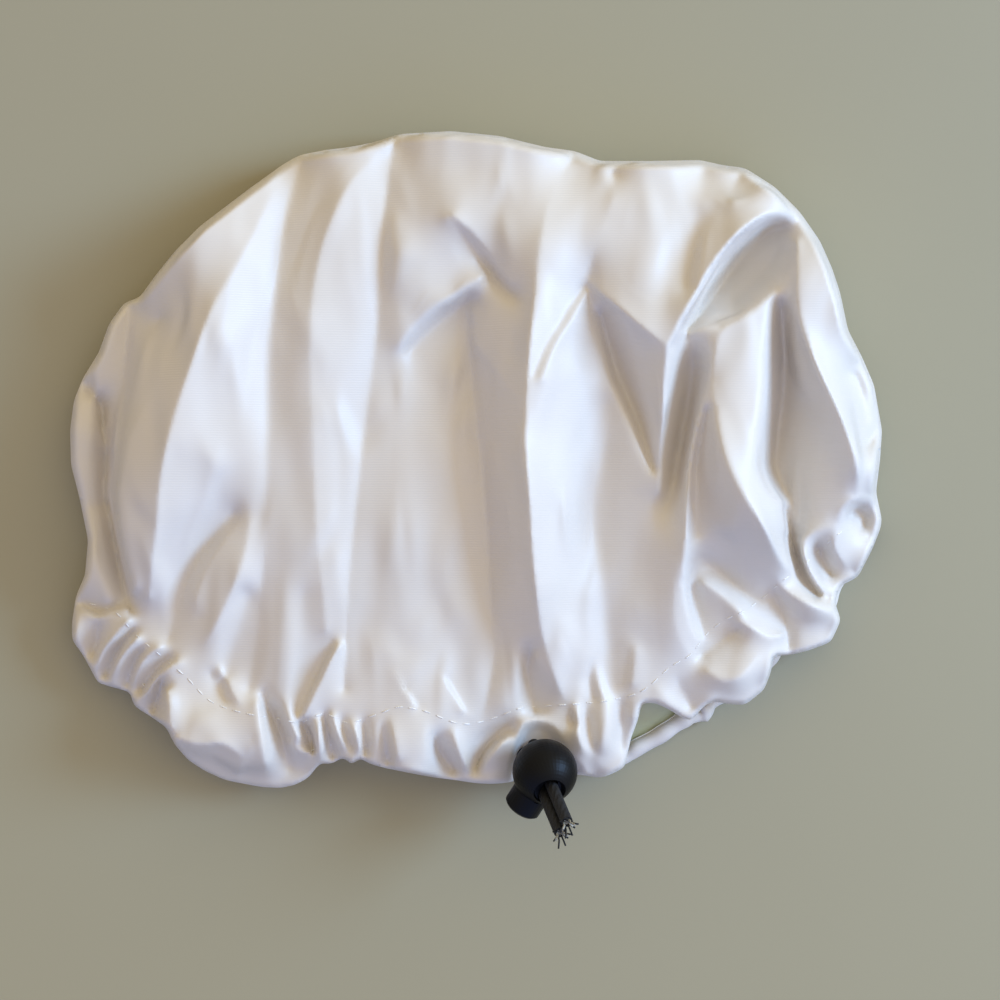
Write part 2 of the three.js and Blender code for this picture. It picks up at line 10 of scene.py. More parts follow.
import bmesh
import bpy
import numpy as np
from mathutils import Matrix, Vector, kdtree
from mathutils.geometry import delaunay_2d_cdt


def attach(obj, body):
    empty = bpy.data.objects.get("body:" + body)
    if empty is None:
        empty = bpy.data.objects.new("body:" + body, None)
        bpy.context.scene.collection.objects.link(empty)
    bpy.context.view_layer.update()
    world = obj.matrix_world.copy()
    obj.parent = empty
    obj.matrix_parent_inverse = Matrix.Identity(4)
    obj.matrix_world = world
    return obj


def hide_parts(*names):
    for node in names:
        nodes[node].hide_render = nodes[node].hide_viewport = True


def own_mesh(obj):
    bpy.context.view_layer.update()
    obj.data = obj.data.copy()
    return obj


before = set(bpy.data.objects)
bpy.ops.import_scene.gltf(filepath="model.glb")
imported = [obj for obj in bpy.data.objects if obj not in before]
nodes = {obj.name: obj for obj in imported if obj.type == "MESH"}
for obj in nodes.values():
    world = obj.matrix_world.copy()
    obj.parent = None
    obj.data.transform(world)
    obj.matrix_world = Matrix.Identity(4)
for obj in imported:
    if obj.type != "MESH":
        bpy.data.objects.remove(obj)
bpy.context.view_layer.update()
scene = bpy.context.scene
print("CAD nodes:", sorted(nodes))

# %% [markdown]
# ## Camera
# The photograph looks straight down. A long lens far above the table keeps the outline nearly flat,
# so the camera stands 0.9 m over the table and sees 0.3 m of it across the picture.

# %% Camera above the table
PICTURE = 1000
VIEW_WIDTH = 0.300
CAMERA_HEIGHT = 0.900
VIEW_X = 0.0072
VIEW_Y = -0.0045
SENSOR = 36.0

bpy.ops.object.select_all(action="DESELECT")
bpy.ops.object.camera_add(location=(VIEW_X, VIEW_Y, CAMERA_HEIGHT), rotation=(0, 0, 0))
camera = bpy.context.object
camera.name = "camera_above"
camera.data.sensor_width = SENSOR
camera.data.lens = SENSOR * CAMERA_HEIGHT / VIEW_WIDTH
scene.camera = camera
print("lens", round(camera.data.lens, 1), "mm")

# %% [markdown]
# The folds are placed on the picture, so one helper turns a pixel and a height over the table
# into a point of the model, along the line of sight through that pixel.

# %% From a pixel and a height to a point
MM_PER_PIXEL = 1000 * VIEW_WIDTH / PICTURE


def sight_point(across, down, height_mm):
    """Metres, for a pixel of the picture and a height over the table. Works on numbers and on arrays."""
    shrink = VIEW_WIDTH / PICTURE * (1 - height_mm / (1000 * CAMERA_HEIGHT))
    half = PICTURE / 2
    return VIEW_X + (across - half) * shrink, VIEW_Y - (down - half) * shrink, height_mm / 1000


def world_points(spots, heights):
    """List of points in metres, for rows of pixels and their heights in mm."""
    columns = sight_point(spots[:, 0], spots[:, 1], heights)
    return list(zip(*[column.tolist() for column in columns]))


print("one pixel is", MM_PER_PIXEL, "mm on the table")

# %% [markdown]
# ## Light
# In the photograph a broad cool window stands to the right. The room is dim and warm on the left,
# brighter on the right and bluish towards the hem. A picture of a room could light the scene,
# but one area lamp for the window and a world whose colour changes with direction need only
# a few values, which are easy to try out.

# %% Lamp for the window
LAMP_TURN = math.radians(14)
LAMP_RISE = math.radians(28)
LAMP_DISTANCE = 1.3
LAMP_SIZE = 0.5
LAMP_POWER = 19.5
LAMP_COLOUR = (0.33, 0.58, 1.0)

level = LAMP_DISTANCE * math.cos(LAMP_RISE)
bpy.ops.object.light_add(type="AREA", location=(
    level * math.cos(LAMP_TURN), level * math.sin(LAMP_TURN), LAMP_DISTANCE * math.sin(LAMP_RISE)))
lamp = bpy.context.object
lamp.name = "window"
lamp.rotation_euler = (-lamp.location).to_track_quat("-Z", "Y").to_euler()
lamp.data.size = LAMP_SIZE
lamp.data.energy = LAMP_POWER
lamp.data.color = LAMP_COLOUR
scene.view_settings.view_transform = "Standard"
print("lamp at", [round(value, 2) for value in lamp.location])

# %% World for the room
ROOM_LEFT = (0.50, 0.42, 0.29, 1)
ROOM_RIGHT = (1.38, 1.20, 0.82, 1)
ROOM_HEM = (0.36, 0.50, 1.06, 1)
HEM_STARTS = 0.1
HEM_FULL = -0.9
MIX_FIRST = 6
MIX_SECOND = 7
MIX_RESULT = 2


def set_inputs(node, **values):
    """Set sockets of a node by name, with _ in place of each space."""
    for name, value in values.items():
        node.inputs[name.replace("_", " ")].default_value = value


def add_node(tree, kind, links=None, **settings):
    """Add a node, set its fields and sockets, and link its inputs: links is {input: (node, output)}."""
    node = tree.nodes.new(kind)
    for name, value in settings.items():
        if hasattr(node, name):
            setattr(node, name, value)
        else:
            set_inputs(node, **{name: value})
    for socket, (source, output) in (links or {}).items():
        tree.links.new(source.outputs[output], node.inputs[socket])
    return node


world = bpy.data.worlds.new("room")
scene.world = world
world.use_nodes = True
room = world.node_tree
room.nodes.clear()
direction = add_node(room, "ShaderNodeTexCoord")
split = add_node(room, "ShaderNodeSeparateXYZ", {"Vector": (direction, "Generated")})
side = add_node(room, "ShaderNodeMapRange", {"Value": (split, "X")}, From_Min=-1.0, From_Max=1.0)
tint = add_node(room, "ShaderNodeValToRGB", {"Fac": (side, "Result")})
tint.color_ramp.elements[0].color = ROOM_LEFT
tint.color_ramp.elements[1].color = ROOM_RIGHT
hem_side = add_node(room, "ShaderNodeMapRange", {"Value": (split, "Y")},
                    From_Min=HEM_STARTS, From_Max=HEM_FULL)
air = add_node(room, "ShaderNodeMix", {"Factor": (hem_side, "Result")}, data_type="RGBA")
room.links.new(tint.outputs["Color"], air.inputs[MIX_FIRST])
air.inputs[MIX_SECOND].default_value = ROOM_HEM
glow = add_node(room, "ShaderNodeBackground", Strength=1.0)
room.links.new(air.outputs[MIX_RESULT], glow.inputs["Color"])
add_node(room, "ShaderNodeOutputWorld", {"Surface": (glow, "Background")})
print("room nodes:", len(room.nodes))

# %% [markdown]
# ## Table
# The bonnet lies on a plain grey-green surface. A large plane is enough, as no edge of it is seen,
# and its paint changes by one faint step of tone, because an even colour would look unreal.

# %% Table top
TABLE_SIZE = 4.0


def linear(code):
    """Linear colour of an sRGB hex code such as '#a0b1c2'."""
    parts = [int(code[place:place + 2], 16) / 255 for place in (1, 3, 5)]
    return [part / 12.92 if part <= 0.04045 else ((part + 0.055) / 1.055) ** 2.4 for part in parts] + [1.0]


def new_material(name):
    """A new material: the material, its node tree, its shader and a node of texture coordinates."""
    material = bpy.data.materials.new(name)
    material.use_nodes = True
    tree = material.node_tree
    return material, tree, tree.nodes["Principled BSDF"], add_node(tree, "ShaderNodeTexCoord")


def two_tones(tree, shader, factor, first, second):
    """Colour a shader from one hex code to another, by the factor that another node gives."""
    tone = add_node(tree, "ShaderNodeMix", {"Factor": factor}, data_type="RGBA")
    tone.inputs[MIX_FIRST].default_value = linear(first)
    tone.inputs[MIX_SECOND].default_value = linear(second)
    tree.links.new(tone.outputs[MIX_RESULT], shader.inputs["Base Color"])


bpy.ops.mesh.primitive_plane_add(size=TABLE_SIZE, location=(0, 0, 0))
table = bpy.context.object
table.name = "table_top"
paint, tree, shader, place = new_material("painted_board_grey_green")
mottle = add_node(tree, "ShaderNodeTexNoise", {"Vector": (place, "Object")}, Scale=9.0, Detail=3.0)
two_tones(tree, shader, (mottle, "Fac"), "#9f987f", "#a39c83")
set_inputs(shader, Roughness=0.75, Specular_IOR_Level=0.2)
table.data.materials.append(paint)
print("table", TABLE_SIZE, "m wide")

# %% [markdown]
# ## The outline of the crown
# The edge of the front, clockwise from the left corner of the hem, as pixel, pixel and height in mm.
# The rim runs round the left, the top and the right. The hem runs back along the bottom.

# %% Rim and hem of the front
RIM = [
    (72, 622, 8), (76, 596, 9), (85, 575, 10), (88, 540, 9), (80, 500, 9), (71, 465, 9), (70, 430, 9),
    (74, 400, 9), (83, 378, 9), (99, 352, 9), (109, 324, 10), (124, 303, 10), (140, 297, 10), (155, 276, 10),
    (175, 251, 10), (200, 226, 10), (225, 207, 10), (250, 188, 10), (285, 163, 11), (300, 155, 11),
    (325, 150, 11), (350, 147, 11), (375, 142, 11), (400, 134, 11), (450, 131, 11), (500, 136, 11),
    (545, 147, 11), (575, 151, 11), (600, 161, 11), (650, 161, 11), (700, 160, 11), (722, 165, 11),
    (745, 168, 10), (775, 187, 10), (800, 212, 10), (820, 241, 10), (832, 268, 10), (840, 292, 10),
    (848, 330, 10), (862, 357, 10), (874, 385, 10), (882, 430, 10), (880, 460, 9), (876, 492, 9),
    (882, 520, 9), (880, 530, 9),
]
HEM = [
    (872, 550, 8), (858, 577, 8), (840, 586, 9), (835, 603, 9), (841, 620, 9), (831, 642, 9), (810, 650, 11),
    (790, 655, 13), (774, 656, 14), (771, 672, 13), (764, 690, 13), (745, 705, 12), (728, 704, 13),
    (715, 701, 14), (705, 705, 14), (698, 713, 13), (690, 721, 13), (681, 717, 14), (670, 710, 15),
    (655, 703, 16), (642, 703, 16), (638, 720, 15), (631, 738, 14), (628, 752, 13), (625, 767, 11),
    (612, 774, 10), (600, 778, 9), (582, 775, 9), (560, 774, 9), (535, 776, 9), (515, 781, 10),
    (505, 783, 11), (490, 784, 12), (474, 783, 13), (455, 780, 14), (438, 778, 15), (420, 775, 16),
    (400, 771, 17), (385, 768, 17), (370, 764, 16), (360, 758, 17), (352, 765, 15), (343, 757, 17),
    (332, 764, 15), (320, 763, 15), (308, 778, 12), (295, 785, 10), (280, 788, 9), (262, 787, 9),
    (245, 784, 8), (225, 780, 8), (205, 771, 8), (188, 760, 8), (175, 745, 10), (166, 727, 12),
    (150, 716, 10), (134, 706, 9), (130, 692, 9), (112, 687, 8), (98, 683, 8), (90, 668, 8), (83, 655, 8),
    (72, 640, 8),
]
EDGE_STEP = 2.5
EDGE_EASING = 4
RIM_REACH = 8.0
HEM_REACH = 5.0


def even_line(corners, spacing, closed=False):
    """Points along straight runs between corners, about a given number of pixels apart."""
    points = np.array(corners + corners[:1] if closed else corners, float)
    runs = np.hypot(np.diff(points[:, 0]), np.diff(points[:, 1]))
    along = np.concatenate([[0.0], np.cumsum(runs)])
    count = max(2, round(along[-1] / spacing) + 1)
    places = np.linspace(0.0, along[-1], count)
    line = np.column_stack([np.interp(places, along, column) for column in points.T])
    return line[:-1] if closed else line


def rounded_loop(loop, times):
    """A closed loop with its corners eased by averaging neighbours."""
    for _ in range(times):
        loop = 0.5 * loop + 0.25 * (np.roll(loop, 1, axis=0) + np.roll(loop, -1, axis=0))
    return loop


edge_corners = [(*point, RIM_REACH) for point in RIM] + [(*point, HEM_REACH) for point in HEM]
edge = rounded_loop(even_line(edge_corners, EDGE_STEP, closed=True), EDGE_EASING)
rim_count = len(even_line(RIM, EDGE_STEP))
print("outline points:", len(edge), "of which rim:", rim_count)

# %% [markdown]
# ## The folds of the front
# Each fold line is a crest, a crease or a soft swell: how softly it turns, in mm, and the points that it runs
# through, as pixel, pixel and height in mm. The sheet then hangs between these lines like a stretched film.

# %% Fold lines of the left part
SHARP = 0.3
CRISP = 0.7
EASY = 1.6
SOFT = 3.5

folds = {
    "left lobe": (EASY, [(88, 400, 14), (90, 440, 16), (92, 475, 16.5), (95, 498, 15)]),
    "left lobe crease": (SHARP, [
        (86, 382, 9), (95, 395, 7), (102, 430, 6.5), (107, 455, 6.5), (106, 480, 7), (105, 503, 8)]),
    "lower lobe": (EASY, [(97, 512, 16), (98, 540, 19), (102, 575, 20), (110, 600, 19)]),
    "lower lobe crease": (SHARP, [
        (108, 500, 8), (114, 530, 9), (121, 565, 10.5), (128, 596, 13), (131, 610, 15)]),
    "narrow strip crest": (CRISP, [
        (118, 312, 16), (106, 338, 17), (98, 365, 16), (95, 392, 14.5), (99, 420, 12), (105, 448, 9.5)]),
    "narrow strip crease": (SHARP, [
        (131, 306, 13), (127, 345, 15), (122, 390, 15), (114, 420, 13), (107, 452, 10)]),
    "left flank swell": (CRISP, [
        (160, 318, 21), (143, 350, 24), (132, 390, 26), (124, 430, 28), (119, 462, 29.5),
        (116, 490, 30.5), (117, 520, 30.5), (124, 555, 29.5), (134, 590, 27)]),
    "first crest": (SHARP, [
        (286, 163, 18), (268, 200, 26), (250, 238, 31.5), (230, 275, 36), (210, 312, 39),
        (197, 345, 40.5), (185, 380, 41), (174, 415, 41), (165, 450, 40.5), (160, 480, 39),
        (157, 520, 36.5), (153, 560, 32), (148, 598, 26)]),
    "first valley": (CRISP, [
        (302, 160, 18), (290, 200, 22), (281, 250, 25.5), (276, 290, 27.5), (270, 340, 28.8),
        (268, 400, 29), (267, 480, 29), (265, 540, 27.5), (259, 610, 24), (253, 660, 22),
        (248, 690, 21.5)]),
    "flank dip": (CRISP, [
        (236, 512, 25.5), (213, 536, 23.5), (196, 558, 22), (183, 585, 21), (176, 610, 20),
        (168, 640, 19)]),
    "lens edge": (SHARP, [
        (243, 520, 27.5), (225, 540, 27.5), (210, 562, 27.5), (200, 585, 26.5), (195, 600, 25.5),
        (199, 618, 24)]),
    "lens crest": (SHARP, [
        (250, 520, 28.5), (245, 550, 29.5), (236, 580, 29.5), (226, 605, 28), (214, 628, 26),
        (203, 646, 23.5)]),
    "lens right dip": (EASY, [(246, 590, 24), (240, 620, 22.5), (230, 655, 20.5), (222, 690, 20)]),
    "band crest": (EASY, [
        (286, 560, 28), (284, 600, 27.5), (281, 640, 26.5), (278, 680, 25), (275, 700, 24)]),
    "band dip": (EASY, [(303, 590, 26.5), (301, 630, 25), (298, 670, 23), (296, 700, 22)]),
    "second crest": (SHARP, [
        (392, 138, 22), (370, 160, 26), (350, 183, 29), (335, 212, 31), (325, 235, 32),
        (317, 268, 32.4), (312, 300, 32.5), (310, 350, 32.5), (311, 400, 32.5), (313, 450, 32.4),
        (315, 500, 32), (318, 550, 30.5), (322, 590, 28.6), (326, 630, 26.3)]),
    "second crease": (SHARP, [
        (396, 140, 20), (390, 165, 23.5), (386, 200, 25.5), (382, 260, 27), (376, 340, 27.3),
        (366, 420, 27.4), (357, 500, 27.2), (349, 580, 26), (346, 640, 24.3), (344, 690, 22.5)]),
    "gather crest": (SHARP, [
        (340, 645, 27), (330, 660, 27), (320, 680, 26.5), (310, 700, 26), (302, 718, 25)]),
    "gather crease": (SHARP, [
        (333, 640, 24.5), (324, 658, 23), (314, 678, 22), (305, 698, 21.5), (299, 714, 21)]),
}
print("fold lines so far:", len(folds))

# %% [markdown]
# The middle part has the long main fold, with a pillow to its left and a kite-shaped flap to its right.

# %% Fold lines of the middle part
folds.update({
    "middle swell": (SOFT, [
        (415, 390, 28.2), (420, 420, 28.3), (424, 460, 28.4), (424, 520, 28.4), (420, 580, 27.5),
        (410, 640, 26), (405, 690, 24.5)]),
    "pillow ridge": (SOFT, [(402, 222, 31), (399, 250, 32.5), (403, 285, 32.5), (409, 308, 31)]),
    "pillow dip": (SOFT, [(444, 236, 31), (450, 262, 30), (446, 285, 30)]),
    "pillow edge": (CRISP, [
        (482, 276, 32), (462, 290, 32.5), (438, 306, 32), (415, 326, 30.5), (398, 347, 29)]),
    "pillow foot": (CRISP, [(472, 298, 23.5), (450, 313, 23.5), (428, 331, 24.5), (408, 352, 26)]),
    "pinch crease": (SHARP, [
        (446, 218, 33.5), (462, 234, 31.5), (476, 250, 29.5), (489, 269, 26.5), (503, 287, 28),
        (517, 299, 32)]),
    "pinch crest": (SHARP, [
        (452, 214, 34), (468, 228, 34), (484, 246, 33), (498, 266, 32), (512, 284, 34)]),
    "upper face": (SOFT, [(430, 165, 27), (480, 172, 30), (515, 190, 33)]),
    "leaf edge": (CRISP, [
        (472, 310, 27), (476, 345, 29), (490, 362, 32.5), (506, 381, 37), (524, 405, 42.5)]),
    "leaf": (SOFT, [(494, 300, 32), (502, 325, 35), (513, 355, 38.5)]),
    "middle valley": (SHARP, [
        (468, 306, 24.5), (473, 380, 23.5), (480, 450, 24), (485, 500, 24.5), (489, 560, 24.5),
        (492, 625, 23), (494, 650, 21.5), (490, 685, 20), (482, 718, 19)]),
    "main crest": (SHARP, [
        (575, 153, 22), (560, 178, 30), (548, 205, 34.5), (541, 240, 37.5), (537, 270, 39),
        (531, 330, 41.5), (526, 400, 43), (525, 450, 43), (529, 500, 42), (533, 560, 39.5),
        (538, 610, 35.5), (546, 650, 30), (556, 680, 25.5), (567, 705, 21), (574, 725, 18)]),
    "hem pleat swell": (EASY, [(516, 652, 25), (514, 680, 24), (508, 712, 21)]),
    "hem slit": (SHARP, [(530, 652, 22), (528, 670, 19), (531, 690, 17), (535, 712, 15)]),
    "hem slit right": (CRISP, [(537, 655, 27), (539, 685, 20), (543, 712, 17)]),
    "flap edge": (CRISP, [
        (614, 172, 27), (613, 195, 34), (605, 220, 36), (598, 240, 36), (588, 278, 33.5)]),
    "flap foot": (CRISP, [(585, 285, 32.5), (566, 312, 35), (548, 342, 37.8), (534, 376, 41)]),
    "flank upper edge": (SHARP, [(588, 290, 33.5), (572, 318, 36.5), (554, 348, 39), (540, 380, 41.5)]),
    "flank swell": (SOFT, [
        (564, 400, 36.5), (564, 450, 35.5), (564, 500, 34.5), (568, 560, 32), (576, 620, 28),
        (586, 670, 23.5)]),
    "right valley": (EASY, [
        (606, 400, 26.5), (606, 420, 26), (603, 450, 25), (596, 480, 24.5), (594, 500, 24),
        (595, 530, 23.5), (601, 560, 23), (604, 600, 21.5), (606, 640, 19.5), (612, 690, 18)]),
    "tan slope": (SOFT, [
        (640, 505, 28.5), (641, 520, 28), (643, 560, 26.3), (646, 600, 24.8), (648, 640, 22.8)]),
    "right flank lip": (CRISP, [
        (588, 283, 33), (600, 340, 29.5), (611, 380, 28.5), (620, 400, 28.5), (629, 420, 29),
        (640, 450, 30), (650, 475, 30.5), (659, 493, 30.5)]),
    "kite foot": (CRISP, [
        (600, 312, 27), (608, 345, 23), (619, 380, 21), (628, 400, 21), (637, 420, 22),
        (646, 447, 24.5), (654, 470, 27)]),
    "kite edge": (SHARP, [(588, 282, 34), (610, 300, 38), (640, 325, 42), (668, 347, 43)]),
    "kite crest": (CRISP, [
        (668, 349, 43), (665, 380, 40.5), (663, 420, 36.5), (660, 450, 34), (660, 470, 32.5),
        (660, 492, 31)]),
})
print("fold lines so far:", len(folds))

# %% [markdown]
# The right part has deep pockets between crests that run down towards the corner of the hem.

# %% Fold lines of the right part
folds.update({
    "top panel": (SOFT, [(650, 200, 35), (640, 240, 37.5), (645, 280, 40)]),
    "top valley": (EASY, [(703, 165, 23), (699, 195, 30.5), (694, 240, 33), (687, 285, 37)]),
    "top crest": (CRISP, [(742, 172, 24), (724, 203, 33), (709, 233, 37), (696, 280, 41)]),
    "eighth crest": (SHARP, [
        (668, 346, 43), (690, 305, 43), (704, 280, 42.5), (720, 255, 42), (745, 228, 40),
        (765, 215, 37), (782, 214, 33), (797, 220, 27)]),
    "pocket": (CRISP, [
        (684, 339, 31), (704, 306, 22), (716, 288, 18.5), (731, 266, 17.5), (753, 243, 18),
        (771, 229, 20), (786, 227, 24)]),
    "pocket floor": (EASY, [(732, 306, 22), (752, 287, 22), (770, 264, 22), (785, 248, 25)]),
    "pocket edge": (CRISP, [(674, 348, 38.5), (690, 332, 37), (705, 327, 37), (720, 329, 38.5)]),
    "hollow": (EASY, [
        (692, 352, 27), (690, 390, 18.5), (684, 430, 17), (677, 470, 19), (670, 500, 24),
        (664, 520, 28.5)]),
    "ninth crest": (SHARP, [
        (775, 292, 33), (747, 314, 37), (722, 330, 39), (714, 355, 39.5), (709, 380, 38.5),
        (703, 400, 38), (695, 430, 37.5), (690, 457, 37), (687, 500, 37), (686, 548, 35),
        (684, 591, 29.5), (690, 620, 25.5), (696, 640, 22.5)]),
    "tenth crest": (CRISP, [
        (711, 384, 39.5), (718, 430, 43), (734, 478, 45.5), (752, 508, 44.5), (769, 535, 41),
        (780, 556, 34.5), (788, 571, 28)]),
    "petal foot": (CRISP, [
        (708, 408, 35.5), (702, 432, 33), (697, 460, 31.5), (695, 500, 30.5), (696, 535, 29)]),
    "petal edge": (CRISP, [
        (772, 297, 33), (767, 320, 35), (764, 350, 36.5), (762, 400, 38.5), (758, 440, 39.5),
        (758, 474, 39.5), (769, 493, 37.5), (780, 508, 34), (784, 530, 29)]),
    "gold valley": (CRISP, [
        (781, 303, 27), (783, 330, 23), (784, 360, 19), (781, 400, 15), (775, 440, 13.5),
        (773, 470, 13.5), (782, 490, 15), (793, 505, 17), (798, 524, 19)]),
    "right pocket": (EASY, [(806, 400, 24.5), (812, 440, 24), (816, 475, 24), (814, 508, 23)]),
    "right crest": (SHARP, [
        (797, 240, 32), (797, 275, 36), (798, 312, 37.5), (808, 345, 38), (821, 375, 38.5),
        (834, 402, 38), (846, 430, 36.5), (855, 460, 34), (858, 485, 29), (856, 497, 26)]),
    "small ear": (SHARP, [(857, 363, 20), (867, 378, 19), (874, 400, 17), (878, 425, 14), (869, 444, 18)]),
    "small ear crease": (SHARP, [(852, 372, 19), (861, 392, 18), (866, 420, 18)]),
    "diagonal crease": (CRISP, [(698, 556, 25), (712, 565, 20.5), (738, 588, 18), (762, 603, 18.5)]),
    "diagonal crest": (CRISP, [(702, 582, 25.5), (720, 594, 25), (742, 614, 24)]),
    "white sliver": (CRISP, [(677, 562, 32.5), (674, 600, 29), (680, 640, 24.5), (690, 655, 22)]),
    "sliver foot": (CRISP, [(693, 562, 25), (692, 590, 20.5), (698, 615, 18.5), (704, 634, 18.5)]),
    "tan crease": (SHARP, [(784, 508, 17), (790, 530, 14), (796, 554, 13), (806, 576, 13), (818, 595, 13)]),
})
print("fold lines so far:", len(folds))

# %% [markdown]
# ## The gathered hem
# The casing is a soft tube round the hem, pulled into small pleats by the cord.
# Even waves would look made by a machine, so most pleats and crumples are a pair of lines of their own,
# a crest and a crease.

